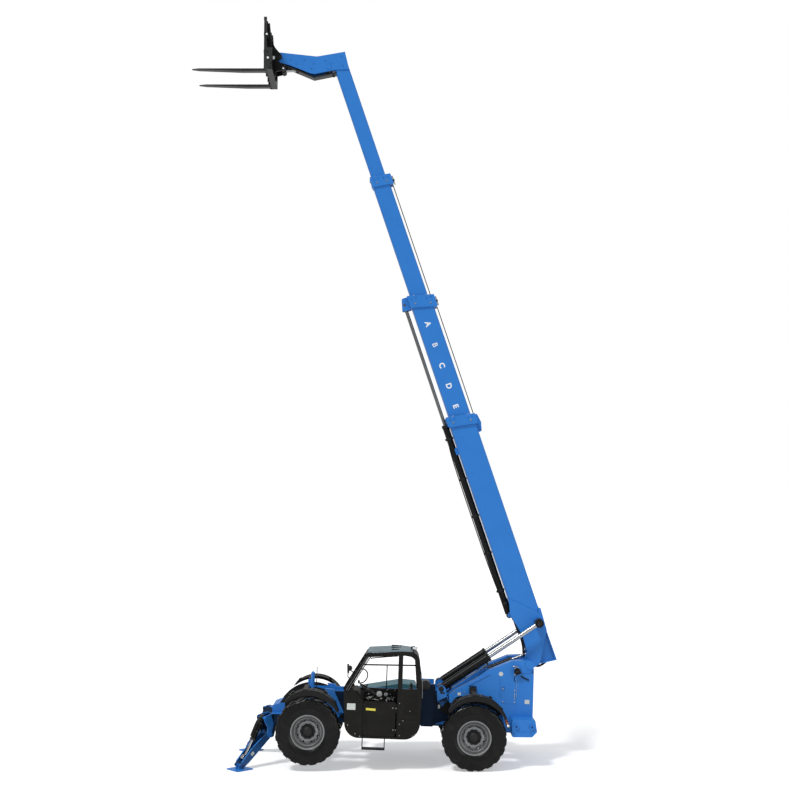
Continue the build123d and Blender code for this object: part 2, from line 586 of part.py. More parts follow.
def gooseneck():
    """Boxed arm that drops from the last section to the fork pivot, open in front for the tilt cylinder."""
    cheek = [
        (13730, 470), (14151, 506), (14244, -129, 300), (14600, -900, 60), (14575, -1130, 70), (14440, -1150, 60),
        (14370, -960, 40), (14244, -770, 80), (13881, -343, 260), (13817, 183),
    ]
    half = 118
    body = slab(cheek, -half, half)
    hollow = [
        (13900, 150), (14030, 230), (14130, 60), (14205, -150, 250), (14560, -890), (14620, -1200), (14380, -1200),
        (14330, -940), (14200, -760), (13780, -330, 200), (13700, 0),
    ]
    body -= slab(hollow, -half + 22, half - 22)
    top = slab([(14151, 506), (14244, -129, 300), (14600, -900), (14582, -908), (14226, -136, 290), (14136, 506)],
               -half + 10, half - 10)
    body += top
    for v in (120, -250, -620):
        body += both(round_y((14010 + (120 - v) * 0.32, v), 30, half - 2, half + 6))
    body += both(round_y(FORK_PIVOT, 78, half - 24, half + 14))
    body += both(round_y(TILT_BASE, 52, half - 24, half + 10)) + round_y(TILT_BASE, TILT_PIN_R, -half, half)
    return body - round_y(FORK_PIVOT, FORK_PIN_R + PIN_GAP, -400, 400)


def boom_section_4():
    u0, u1, depth, width = SECTIONS["boom_section_4"]
    tube = box_tube(u0, u1, depth, width) - brick((13890, 14200), (-96, 96), (-60, 440))
    return tube + gooseneck()


def chain_run(u0, u1, v):
    """Twin extension chains and their hose pair between two collars."""
    body = brick((u0, u1), (-34, -12), (v - 7, v + 7)) + brick((u0, u1), (12, 34), (v - 7, v + 7))
    for u in range(int(u0) + 20, int(u1), 900):
        body += brick((u, u + 30), (-34, 34), (v - 5, v + 5))
    return body


# ---------------------------------------------------------------- fork carriage, about the fork pivot
def fork_carriage():
    """Backrest and carriage frame about the fork pivot, load face ahead, level."""
    cheek = [(-120, -60), (-205, 5, 30), (-190, 62, 30), (-45, 235, 60), (48, 420, 60), (72, 720, 20),
             (FACE_X - 5, 730, 20), (FACE_X - 5, -340),
             (60, -430), (-70, -425), (-60, -315, 40), (-292, -262, 60), (-280, -160, 60), (-135, -100, 40)]
    body = both(slab(cheek, CARRIAGE_EAR, CARRIAGE_EAR + 26))
    ear_end = [(-290 + 300, -400), (FACE_X - 5, -400), (FACE_X - 5, 730), (60, 730), (30, 300), (-10, 0)]
    body += both(slab(ear_end, 330, 352))
    # top and bottom fork bars and the cross bars of the backrest
    bars = [  # x from, x to, z from, z to
        (-25, SHANK_X - 3, -440, -330), (60, SHANK_X - 3, -60, 0), (80, FACE_X, 330, 400), (120, FACE_X, 690, 760),
    ]
    for x0, x1, z0, z1 in bars:
        wide = both(brick((x0, x1), (CARRIAGE_EAR, 640), (z0, z1)))     # open in the middle for the boom head
        body += wide if abs(z0) < 400 else brick((x0, x1), (-640, 640), (z0, z1))
    for y in (-640, -400, -200, 150, 350, 590):
        body += brick((SHANK_X - 12, FACE_X - 5), (y, y + 50), (-430, 760))
    fork_bar = round_y((FACE_X - 95, -180), 26, -640, 640)
    body += fork_bar
    for y in (-640, 618):
        body += brick((-25, FACE_X - 20), (y, y + 22), (-440, 60))
    body += round_y((0, 0), FORK_PIN_R, -CARRIAGE_EAR - 26, CARRIAGE_EAR + 26)
    body += both(round_y((0, 0), 72, CARRIAGE_EAR, CARRIAGE_EAR + 34))
    pin = carriage_local(TILT_PIN)
    body += both(round_y(pin, 55, CARRIAGE_EAR - 14, CARRIAGE_EAR + 30))
    return body


def carriage_local(point):
    """A boom-frame (x, z) in the carriage's own level frame about the fork pivot."""
    px, pz = boom_xz(FORK_PIVOT)
    x, z = boom_xz(point)
    c, s = cos(radians(NOSE_UP)), sin(radians(NOSE_UP))
    dx, dz = x - px, z - pz
    return (dx * c - dz * s, dx * s + dz * c)


def forks():
    """Two pallet forks with tapered blades, shanks hooked on the fork bar."""
    heel, top = -FORK_DROP, 60
    blade = [
        (SHANK_X, top, 10), (SHANK_X + FORK_T, top, 10), (SHANK_X + FORK_T, heel, 12),
        (FACE_X + FORK_L, heel, 4), (FACE_X + FORK_L, heel - 14, 4), (FACE_X + 500, heel - FORK_T, 200),
        (SHANK_X, heel - FORK_T, 40),
    ]
    one = slab(blade, -FORK_W / 2, FORK_W / 2)
    nose = [(0, -FORK_W / 2), (FACE_X + FORK_L - 160, -FORK_W / 2), (FACE_X + FORK_L, -22),
            (FACE_X + FORK_L, 22), (FACE_X + FORK_L - 160, FORK_W / 2), (0, FORK_W / 2)]
    one = one & (Pos(0, 0, -1000) * extrude(make_face(Polyline(*nose, close=True)), 2000))
    return Pos(0, FORK_Y, 0) * one + Pos(0, -FORK_Y, 0) * one


def on_carriage(shape):
    """Put a carriage shape, level when standing, on the boom head."""
    x, z = boom_xz(FORK_PIVOT)
    return stand(Pos(x, 0, z) * Rot(0, NOSE_UP, 0) * shape)


# ---------------------------------------------------------------- cab
CAB_SIDE = [
    (CAB_FRONT - 50, 604, 300), (CAB_FRONT, 1559, 80), (CAB_FRONT - 454, 2322, 60), (1530, 2372, 300),
    (1185, 2367, 330),
    (1100, 1600, 400), (1135, 604, 330),
]
DOOR_X = (1612, CAB_FRONT - 416)
DOOR_Z = (655, 1330)
SILL = 1330


def cab_shell():
    """Cab: floor, four walls with window openings, pillars and roof frame, open at the door."""
    y0, y1 = CAB_Y
    w, front = CAB_WALL, CAB_FRONT
    body = slab(CAB_SIDE, y0, y1) - slab(inset(CAB_SIDE, w), y0 + w, y1 - w)
    door = [(DOOR_X[0] - 6, DOOR_Z[0] - 6), (DOOR_X[1] + 6, DOOR_Z[0] - 6), (DOOR_X[1] + 6, SILL + 20),
            (front - 156, 1640, 30), (front - 480, 2240, 40), (DOOR_X[0] - 6, 2296, 20)]
    rear_quarter = [(1512, 1620, 20), (1196, 1620, 20), (1262, 2268, 200), (1512, 2300, 20)]
    body -= slab(door, y1 - w - 1, y1 + 1) + slab(rear_quarter, y1 - w - 1, y1 + 1)
    far = [(front - 216, 1500), (front - 156, 1640, 30), (front - 480, 2240, 40), (1270, 2288, 200), (1196, 1500, 20)]
    body -= slab(far, y0 - 1, y0 + w + 1)
    body -= brick((front - 516, front + 184), (y0 + 60, y1 - 60), (1620, 2243))
    body -= brick((1000, 1290), (y0 + 60, y1 - 60), (1640, 2233))
    body -= brick((1560, front - 546), (y0 + 60, y1 - 60), (2260, 2500))
    bars = slab([(front - 276, 1960), (1170, 1985), (1170, 2013), (front - 291, 1990)], y0 + 8, y0 + 30)
    bars += brick((1830, 1852), (y0 + 8, y0 + 30), (1500, 1990))
    step = both_sides_of_step()
    seat_box = brick((1330, 1760), (620, 1080), (640, 1010))
    return body + bars + step + seat_box


def inset(corners, wall):
    """The same outline moved inward by a wall, for a convex table of corners."""
    count = len(corners)
    out = []
    for i, corner in enumerate(corners):
        before, after = corners[i - 1], corners[(i + 1) % count]
        n1 = edge_normal(before, corner)
        n2 = edge_normal(corner, after)
        k = wall / (1 + n1[0] * n2[0] + n1[1] * n2[1])
        radius = max(corner[2] - wall, 5)
        out.append((corner[0] + (n1[0] + n2[0]) * k, corner[1] + (n1[1] + n2[1]) * k, radius))
    return out


def edge_normal(a, b):
    """Inward unit normal of an edge of an outline that runs anticlockwise."""
    run, rise = b[0] - a[0], b[1] - a[1]
    size = hypot(run, rise)
    return (-rise / size, run / size)


def both_sides_of_step():
    """Boarding step: a tread hung on two straps under the door sill."""
    y1 = CAB_Y[1]
    ends = (DOOR_X[1] - 465, DOOR_X[1] - 10)
    tread = brick((ends[0], ends[1] + 20), (y1 - 190, y1 - 10), (372, 396))
    for x in ends:
        tread += brick((x, x + 20), (y1 - 60, y1 - 12), (390, 625))
    return tread


def cab_roof():
    """Ribbed roof panel on the frame."""
    y0, y1 = CAB_Y
    brow = CAB_FRONT - 466
    top = [(brow, 2329), (brow - 20, 2362, 20), (1560, 2416, 40), (1330, 2390, 60), (1330, 2374), (1540, 2377)]
    body = slab(top, y0 + 20, y1 - 20)
    for i in range(5):
        y = y0 + 150 + i * 150
        body -= slab([(brow - 90, 2440), (brow - 90, 2360), (1600, 2406), (1600, 2470)], y - 22, y + 22)
    return body


def cab_door():
    """Lower half door with a rolled top rail, hinges and latch."""
    y1 = CAB_Y[1]
    (x0, x1), (z0, z1) = DOOR_X, DOOR_Z
    panel = slab([(x1, z0, 40), (x1, z1, 25), (x0 + 24, z1, 25), (x0 + 24, z0, 40)], y1 - CAB_WALL, y1)
    panel -= brick((x0 + 90, x1 - 60), (y1 - CAB_WALL - 1, y1 - 20), (z0 + 60, z1 - 70))
    for z in (z0 + 110, z1 - 150):
        panel += brick((x0 + 6, x0 + 60), (y1 - 8, y1 + 6), (z - 30, z + 30))
        panel += Pos(DOOR_HINGE[0], DOOR_HINGE[1], z) * Cylinder(9, 70)
    panel += brick((x1 - 150, x1 - 60), (y1 - 4, y1 + 14), (z1 - 90, z1 - 62))
    return panel


def seat():
    """Operator's seat: cushion and back on a pedestal."""
    cushion = slab([(1340, 1020, 40), (1820, 1040, 60), (1830, 1150, 50), (1360, 1130, 40)], 600, 1080)
    back = slab([(1310, 1120, 40), (1430, 1130, 40), (1378, 1620, 60), (1278, 1600, 50)], 610, 1070)
    rest = slab([(1276, 1600, 20), (1367, 1614, 20), (1354, 1705, 40), (1290, 1696, 40)], 720, 960)
    return cushion + back + rest


def console():
    """Dash panel, steering column and wheel."""
    x = CAB_FRONT - 316     # dash's rear edge
    dash = slab([(x, 1000, 40), (x + 200, 1000, 40), (x + 240, 1500, 40), (x + 50, 1560, 60), (x - 70, 1400, 60)],
                450, 1200)
    dash += brick((x, x + 90), (640, 1010), (682, 1010))
    column = rod_between((x + 20, 825, 1270), (x - 175, 825, 1520), 34)
    plane = Plane(origin=(x - 175, 825, 1520), z_dir=(-0.54, 0, 0.84))
    ring = plane * Torus(190, 15)
    spokes = plane * (Box(380, 34, 12) + Box(34, 380, 12)) + plane * Cylinder(48, 34)
    lever = rod_between((x - 55, 600, 1380), (x - 160, 600, 1600), 14)
    return dash + column + ring + spokes + lever


def engine_bay():
    """Engine cover's fixed lower body on the machine's right, hollow, with louvred side."""
    y0, y1 = -ENGINE_Y[1], -ENGINE_Y[0]
    side = [(1180, 760, 60), (BAY_FRONT, 760, 120), (BAY_FRONT, 1180), (1180, 1180)]
    body = slab(side, y0, y1) - brick((1205, BAY_FRONT - 25), (y0 + 25, y1 - 25), (790, 1300))
    for i in range(9):
        body -= brick((1420 + i * 90, 1465 + i * 90), (y0 - 1, y0 + 26), (850, 1080))
    return body


def engine_hood():
    """Sloping hood that lifts from its rear hinge."""
    y0, y1 = -ENGINE_Y[1], -ENGINE_Y[0]
    top = [(1180, 1186), (BAY_FRONT, 1186), (BAY_FRONT, 1260, 60), (BAY_FRONT - 170, 1330, 120), (1540, 1490, 200),
           (1180, 1470, 60)]
    body = slab(top, y0, y1) - slab(inset([(c + (0,))[:3] for c in top], 22), y0 + 22, y1 - 22)
    body -= brick((1202, BAY_FRONT - 22), (y0 + 22, y1 - 22), (1100, 1215))
    return body + round_y(HOOD_HINGE, 14, y0 + 120, y1 - 120)


def engine_block():
    x1 = BAY_FRONT - 210
    return brick((1300, x1), (-1130, -520), (800, 1140)) + brick((1420, x1 - 250), (-1020, -640), (1130, 1165))


def fittings():
    """Mirror, front and rear lamps, beacon bracket, air cleaner and exhaust."""
    y1 = CAB_Y[1]
    x = CAB_FRONT - 76      # mirror's middle
    mirror_arm = bent_bar([(x - 80, y1 - 30, 1760), (x, y1 + 10, 1830), (x, y1 + 10, 2010)], 9, 30)
    glass = slab([(x - 25, 1900, 20), (x + 15, 1900, 20), (x + 25, 2090, 20), (x - 15, 2090, 20)], y1 - 60, y1 + 12)
    lamp = round_y((x - 30, 1990), 52, y1 - 170, y1 - 110) + bent_bar(
        [(x - 140, y1 - 60, 1900), (x - 40, y1 - 120, 1950), (x - 30, y1 - 120, 1990)], 10, 20)
    rear_lamp = slab([(1235, 2415, 8), (1330, 2440, 8), (1330, 2472, 8), (1225, 2472, 8)], y1 - 180, y1 - 60)
    rear_lamp += brick((1290, 1312), (y1 - 130, y1 - 110), (2335, 2450))
    cleaner = round_y((1010, 1640), 92, 440, 700) + brick((960, 1060), (419, 460), (1500, 1640))
    return mirror_arm + glass + lamp + rear_lamp + cleaner


# ---------------------------------------------------------------- placing
def place_ram(size, a, b, eye_w, pin_r, inward):
    """Barrel and rod of a cylinder between two machine (x, z) pins."""
    barrel_r, rod_r, length = size
    eye_r = barrel_r + EYE_OVER
    barrel, rod = ram(length, barrel_r, rod_r, length_xz(a, b), eye_r, eye_w, pin_r, inward)
    return along(a, b, barrel), along(a, b, rod)


def wheel_set():
    """Knuckle, rim and tyre of each wheel, by name."""
    nodes = {}
    rubber = tyre()
    for end, x in (("front", WHEELBASE), ("rear", 0)):
        for hand, side in (("left", 1), ("right", -1)):
            name = f"{end}_{hand}"
            hub = Pos(x, side * KINGPIN_Y, TYRE_R)
            centre = Pos(x, side * TRACK / 2, TYRE_R)
            nodes[f"knuckle_{name}"] = stand(hub * knuckle(side))
            nodes[f"rim_{name}"] = stand(centre * rim(side))
            nodes[f"tyre_{name}"] = stand(centre * rubber)
    return nodes


def stabiliser_set():
    """Leg, cylinder and pad on each side, by name."""
    nodes = {}
    barrel, rod = place_ram(LEG_RAM_R, TOP_EYE, RAM_EYE, LEG_EYE_W, 30, LEG_RAM_IN)
    rod += round_y(RAM_EYE, 26, -LEG_HALF + 16 + CLEAR, LEG_HALF - 16 - CLEAR)
    for hand, side in (("left", 1), ("right", -1)):
        nodes[f"stabiliser_leg_{hand}"] = stand(leg(side))
        nodes[f"stabiliser_barrel_{hand}"] = stand(splay(barrel, side))
        nodes[f"stabiliser_rod_{hand}"] = stand(splay(rod, side))
        nodes[f"stabiliser_pad_{hand}"] = foot_pad(side)
    return nodes


def boom_set():
    """Boom sections, extension cylinder and chain runs, by name."""
    reach = EXTEND_EYE[0] - EXTEND_BASE[0]
    barrel, rod = ram(EXTEND_L, EXTEND_R, EXTEND_ROD_R, reach, 60, 140, 28, EXTEND_IN)
    at = Pos(EXTEND_BASE[0], 0, EXTEND_BASE[1])
    rod += round_y((reach, 0), 28, -102, 102)
    parts = {
        "boom_section_1": boom_section_1(),
        "boom_section_2": inner_section("boom_section_2"),
        "boom_section_3": inner_section("boom_section_3"),
        "boom_section_4": boom_section_4(),
        "extension_barrel": at * barrel,
        "extension_rod": at * rod,
        "chain_run_lower": chain_run(5100, 7970, 632),
        "chain_run_upper": chain_run(8200, 10914, 576),
    }
    return {name: stand(on_boom(shape)) for name, shape in parts.items()}


def cylinder_set():
    """Lift, compensating and tilt cylinders, by name."""
    lift_eye, level_eye = boom_xz(LIFT_EYE), boom_xz(LEVEL_EYE)
    barrel, rod = place_ram(LIFT_R, LIFT_BASE, lift_eye, EYE_W, LIFT_PIN_R, LIFT_IN)
    rod += round_y(lift_eye, 60, EYE_W / 2 - 4, EYE_W / 2 + 22)
    lift = [Pos(0, LIFT_Y, 0) * shape for shape in (barrel, rod)]
    level = place_ram(LEVEL_R, LEVEL_BASE, level_eye, LEVEL_EYE_W, 28, LEVEL_IN)
    tilt = place_ram(TILT_R, boom_xz(TILT_BASE), boom_xz(TILT_PIN), TILT_EYE_W, TILT_PIN_R, TILT_IN)
    return {
        "lift_barrels": stand(both(lift[0])),
        "lift_rods": stand(both(lift[1])),
        "compensating_barrel": stand(level[0]),
        "compensating_rod": stand(level[1]),
        "tilt_barrel": stand(tilt[0]),
        "tilt_rod": stand(tilt[1]),
    }


def build():
    """Every node of the machine as it stands, by name."""
    axle = axle_beam()
    nodes = {
        "chassis_frame": stand(chassis_frame()),
        "side_tanks": stand(side_tanks()),
        "counterweight": stand(counterweight()),
        "tie_downs": stand(tie_downs()),
        "axle_beams": stand(Pos(0, 0, TYRE_R) * axle + Pos(WHEELBASE, 0, TYRE_R) * axle),
        "fenders": stand(fenders()),
        "stabiliser_beam": stand(stabiliser_beam()),
        "cab_shell": stand(cab_shell()),
        "cab_roof": stand(cab_roof()),
        "cab_door": stand(cab_door()),
        "seat": stand(seat()),
        "console": stand(console()),
        "engine_bay": stand(engine_bay()),
        "engine_hood": stand(engine_hood()),
        "engine_block": stand(engine_block()),
        "fittings": stand(fittings()),
        "fork_carriage": on_carriage(fork_carriage()),
        "forks": on_carriage(forks()),
    }
    for group in (wheel_set(), stabiliser_set(), boom_set(), cylinder_set()):
        nodes.update(group)
    return nodes


os.makedirs("parts", exist_ok=True)
NODES = build()
for node_name, shape in NODES.items():
    export_step(shape, f"parts/{node_name}.step")
    print(node_name, round(shape.volume / 1e9, 4), "m3", len(shape.solids()), "solids")
whole = Compound(list(NODES.values()))
box = whole.bounding_box()
print("box", [round(v) for v in (box.min.X, box.min.Y, box.min.Z, box.max.X, box.max.Y, box.max.Z)])
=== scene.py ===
import json
import random
from math import atan2, cos, degrees, dist, hypot, pi, radians, sin

import bmesh
import bpy
from mathutils import Matrix, Vector


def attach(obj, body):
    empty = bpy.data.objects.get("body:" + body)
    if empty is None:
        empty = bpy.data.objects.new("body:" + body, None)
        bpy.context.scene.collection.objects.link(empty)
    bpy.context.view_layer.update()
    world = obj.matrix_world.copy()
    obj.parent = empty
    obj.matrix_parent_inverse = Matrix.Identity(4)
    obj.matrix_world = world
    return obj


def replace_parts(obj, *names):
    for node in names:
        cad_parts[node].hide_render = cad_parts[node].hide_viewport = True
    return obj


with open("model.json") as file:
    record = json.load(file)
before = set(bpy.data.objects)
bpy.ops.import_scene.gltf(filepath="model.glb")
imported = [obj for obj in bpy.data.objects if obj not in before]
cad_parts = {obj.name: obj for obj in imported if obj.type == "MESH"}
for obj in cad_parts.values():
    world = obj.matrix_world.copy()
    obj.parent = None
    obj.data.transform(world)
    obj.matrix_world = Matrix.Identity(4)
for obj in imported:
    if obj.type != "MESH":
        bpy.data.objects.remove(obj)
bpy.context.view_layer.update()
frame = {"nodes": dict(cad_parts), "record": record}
NODES = frame["nodes"]
HANDS = (("left", 1), ("right", -1))
SIDES = (1, -1)
ENDS = (("front", 3.43), ("rear", 0.0))    # axles, along the machine's x
# directions in a frame: away from the machine's middle, along a cylinder or boom, and up
OUT, ALONG, UP = (0, 1, 0), (1, 0, 0), (0, 0, 1)


def shift(point):
    return Matrix.Translation(point)


def pitch(angle):
    """Turn about y, in degrees."""
    return Matrix.Rotation(radians(angle), 4, "Y")


# ---------------- frames, in metres
TYRE_R = 0.675
STAND = shift((-2.14, 0, TYRE_R)) @ pitch(-2.0) @ shift((0, 0, -TYRE_R))
BOOM = STAND @ shift((-1.18, 0, 2.114)) @ pitch(-69.6)
FORK_PIVOT = (14.505, -1.077)
HEAD = shift(BOOM @ Vector((FORK_PIVOT[0], 0, FORK_PIVOT[1])))


def boom_xz(u, v):
    """A boom point (along, across) as (x, z) on the machine at rest."""
    p = STAND.inverted() @ BOOM @ Vector((u, 0, v))
    return (p.x, p.z)


def along(a, b, y=0.0):
    """Frame on the machine (x, z) line from a towards b, +x along it."""
    angle = atan2(b[1] - a[1], b[0] - a[0])
    return STAND @ shift((a[0], y, a[1])) @ Matrix.Rotation(-angle, 4, "Y")


LIFT_BASE, LIFT_EYE = (0.682, 1.551), (0.749, 0.484)
LIFT = [along(LIFT_BASE, boom_xz(*LIFT_EYE), 0.45 * side) for side in SIDES]
LEVEL = along((-0.3, 1.925), boom_xz(0.164, 0.152))
TILT_BASE, TILT_EYE = (13.922, 0.05), (14.202, -0.938)
TILT = along(boom_xz(*TILT_BASE), boom_xz(*TILT_EYE))


def splay(side):
    """Frame of a stabiliser: +x outward along its plan direction, z up, from its hinge's foot."""
    turn = Matrix.Rotation(radians(43.0) * side, 4, "Z")
    return STAND @ shift((4.325, 0.546 * side, 0)) @ turn


def mirrored(place, side):
    """The same frame, with +y towards the machine's left or right."""
    return place @ Matrix.Diagonal((1, side, 1, 1))


# ---------------- camera, light and floor
scene = bpy.context.scene


def added(name, data):
    """A new object in the scene."""
    obj = bpy.data.objects.new(name, data)
    scene.collection.objects.link(obj)
    return obj


def node(tree, kind, **sockets):
    """A new shader node, with the values of its sockets."""
    made = tree.nodes.new(kind)
    for key, value in sockets.items():
        made.inputs[key.replace("_", " ")].default_value = value
    return made


camera = added("camera", bpy.data.cameras.new("camera"))
camera.data.lens, camera.data.sensor_width = 53.4, 36.0
camera.data.clip_end = 200.0
camera.location = (-0.491, 26.3, 5.3)
camera.rotation_euler = (radians(90 + 5.21), 0, radians(180))
scene.camera = camera
scene.view_settings.view_transform = "Standard"


def sun(name, strength, angle, direction):
    lamp = bpy.data.lights.new(name, "SUN")
    lamp.energy, lamp.angle = strength, radians(angle)
    holder = added(name, lamp)
    holder.rotation_mode = "QUATERNION"
    holder.rotation_quaternion = (-Vector(direction)).to_track_quat("Z", "Y")


sun("key", 1.9, 10, (-0.6, -0.7, -1.3))
sun("fill", 0.4, 30, (0.8, -0.9, -0.35))


def backdrop(tree, light, shown):
    """World or floor light with a plain pale look for the camera and for reflections."""
    link = tree.links.new
    path = tree.nodes.new("ShaderNodeLightPath").outputs
    either = tree.nodes.new("ShaderNodeMath")
    either.operation = "MAXIMUM"
    link(path["Is Camera Ray"], either.inputs[0])
    link(path["Is Transmission Ray"], either.inputs[1])
    mix = tree.nodes.new("ShaderNodeMixShader")
    for socket, source in zip(mix.inputs, (either, light, shown)):
        link(source.outputs[0], socket)
    return mix.outputs[0]


world = bpy.data.worlds.new("studio")
scene.world = world
world.use_nodes = True
tree = world.node_tree
tree.nodes.clear()
lit = node(tree, "ShaderNodeBackground", Color=(0.95, 0.97, 1.0, 1), Strength=0.5)
white = node(tree, "ShaderNodeBackground", Color=(1, 1, 1, 1), Strength=1.0)
out = tree.nodes.new("ShaderNodeOutputWorld")
tree.links.new(backdrop(tree, lit, white), out.inputs[0])

floor_mesh = bpy.data.meshes.new("floor")
floor_mesh.from_pydata([(-90, -90, 0), (90, -90, 0), (90, 90, 0), (-90, 90, 0)], [], [(0, 1, 2, 3)])
floor = added("floor", floor_mesh)
floor_look = bpy.data.materials.new("floor")
floor_look.use_nodes = True
tree = floor_look.node_tree
matt = tree.nodes["Principled BSDF"]
matt.inputs["Base Color"].default_value = (0.86, 0.86, 0.86, 1)
matt.inputs["Roughness"].default_value = 0.9
matt.inputs["Specular IOR Level"].default_value = 0.0
glow = node(tree, "ShaderNodeEmission", Color=(1, 1, 1, 1), Strength=0.36)
both = tree.nodes.new("ShaderNodeAddShader")
tree.links.new(matt.outputs[0], both.inputs[0])
tree.links.new(glow.outputs[0], both.inputs[1])
tree.links.new(backdrop(tree, matt, both), tree.nodes["Material Output"].inputs["Surface"])
floor_mesh.materials.append(floor_look)


# ---------------- materials
def overlaid(tree, tint, color, share):
    """A tint's socket with a plain colour laid over it by the share in a socket."""
    mix = tree.nodes.new("ShaderNodeMix")
    mix.data_type = "RGBA"
    mix.inputs[7].default_value = (*color, 1)
    tree.links.new(share, mix.inputs[0])
    tree.links.new(tint, mix.inputs[6])
    return mix.outputs[2]


def finish(name, color, roughness, metallic=0.0, coat=0.0, dirt=(0.02, 0.018, 0.015), dirt_share=0.0,
           spread=0.06, grain=40.0, bump=0.02, wear=None, edge=0.006, dust=0.0, shine=0.5):
    """A surface with slow colour drift, fine grain, rounded edges and, if asked, dirt and worn edges."""
    look = bpy.data.materials.new(name)
    look.use_nodes = True
    tree, link = look.node_tree, look.node_tree.links.new
    shader = tree.nodes["Principled BSDF"]
    shader.inputs["Metallic"].default_value = metallic
    shader.inputs["Specular IOR Level"].default_value = shine
    if coat:
        shader.inputs["Coat Weight"].default_value = coat
        shader.inputs["Coat Roughness"].default_value = 0.12
    where = tree.nodes.new("ShaderNodeTexCoord").outputs["Object"]
    slow = node(tree, "ShaderNodeTexNoise", Scale=1.7, Detail=4.0, Roughness=0.6)
    fine = node(tree, "ShaderNodeTexNoise", Scale=grain, Detail=5.0, Roughness=0.65)
    link(where, slow.inputs["Vector"])
    link(where, fine.inputs["Vector"])
    drift = node(tree, "ShaderNodeHueSaturation", Color=(*color, 1))
    level = node(tree, "ShaderNodeMapRange", From_Min=0.3, From_Max=0.7, To_Min=1 - spread, To_Max=1 + spread)
    link(slow.outputs["Fac"], level.inputs["Value"])
    link(level.outputs["Result"], drift.inputs["Value"])
    tint = drift.outputs["Color"]
    geometry = tree.nodes.new("ShaderNodeNewGeometry")
    if dirt_share:
        patches = node(tree, "ShaderNodeTexNoise", Scale=6.0, Detail=8.0, Roughness=0.7)
        link(where, patches.inputs["Vector"])
        ramp = node(tree, "ShaderNodeMapRange", From_Min=0.5, From_Max=0.78, To_Max=dirt_share)
        link(patches.outputs["Fac"], ramp.inputs["Value"])
        tint = overlaid(tree, tint, dirt, ramp.outputs["Result"])
    if wear:
        edges = node(tree, "ShaderNodeMapRange", From_Min=0.53, From_Max=0.62, To_Max=0.7)
        link(geometry.outputs["Pointiness"], edges.inputs["Value"])
        broken = node(tree, "ShaderNodeMath")
        broken.operation = "MULTIPLY"
        link(edges.outputs["Result"], broken.inputs[0])
        link(fine.outputs["Fac"], broken.inputs[1])
        tint = overlaid(tree, tint, wear, broken.outputs[0])
    if dust:
        up = tree.nodes.new("ShaderNodeSeparateXYZ")
        link(geometry.outputs["Normal"], up.inputs[0])
        lay = node(tree, "ShaderNodeMapRange", From_Min=0.3, From_Max=1.0, To_Max=dust)
        link(up.outputs["Z"], lay.inputs["Value"])
        tint = overlaid(tree, tint, (0.3, 0.28, 0.25), lay.outputs["Result"])
    link(tint, shader.inputs["Base Color"])
    rough = node(tree, "ShaderNodeMapRange", To_Min=max(roughness - 0.07, 0.03), To_Max=roughness + 0.09)
    link(fine.outputs["Fac"], rough.inputs["Value"])
    link(rough.outputs["Result"], shader.inputs["Roughness"])
    round_edge = tree.nodes.new("ShaderNodeBevel")
    round_edge.samples = 4
    round_edge.inputs["Radius"].default_value = edge
    relief = node(tree, "ShaderNodeBump", Strength=bump, Distance=0.01)
    link(fine.outputs["Fac"], relief.inputs["Height"])
    link(round_edge.outputs[0], relief.inputs["Normal"])
    link(relief.outputs[0], shader.inputs["Normal"])
    return look


BLUE = finish("blue_enamel", (0.026, 0.188, 0.58), 0.34, coat=0.14, spread=0.04, grain=60, bump=0.012,
              dirt=(0.02, 0.1, 0.26), dirt_share=0.12, shine=0.2)
# darker copy of the blue enamel for the engine bay and the stabiliser legs: painted shade, with dirt patches
BLUE_LOW_SHADE = finish("blue_enamel_low_shade", (0.016, 0.082, 0.235), 0.4, coat=0.1, spread=0.1, grain=60,
                  bump=0.015, dirt=(0.01, 0.022, 0.05), dirt_share=0.45, shine=0.2)
# blue enamel darkened for parts that lie in shade: painted shade
BLUE_SHADE = finish("blue_enamel_shade", (0.0035, 0.017, 0.046), 0.46, coat=0.02, spread=0.2, grain=60,
              dirt=(0.008, 0.01, 0.015), dirt_share=0.5, shine=0.12)
# the hood's blue darkened to a teal for the shade it stands in: painted shade
HOOD_SHADE = finish("hood_blue_shade", (0.04, 0.135, 0.16), 0.42, coat=0.1, spread=0.08, bump=0.015, shine=0.3)
CAB = finish("cab_black", (0.0105, 0.01, 0.009), 0.36, spread=0.15, dirt=(0.03, 0.028, 0.024),
             dirt_share=0.35, shine=0.12)
BLACK = finish("black_paint", (0.005, 0.005, 0.005), 0.28, spread=0.15, wear=(0.1, 0.1, 0.1), shine=0.18)
ROOF = finish("roof_grey", (0.175, 0.235, 0.26), 0.4, spread=0.1, bump=0.015, shine=0.3)
PLASTIC = finish("moulded_black", (0.011, 0.011, 0.0105), 0.5, spread=0.1, grain=260, bump=0.1, dust=0.12,
                 shine=0.18)
VINYL = finish("seat_vinyl", (0.014, 0.014, 0.015), 0.52, spread=0.1, grain=180, bump=0.12, shine=0.3)
CHROME = finish("hard_chrome", (0.46, 0.47, 0.47), 0.16, metallic=1.0, spread=0.02, bump=0, grain=90,
                edge=0.003)
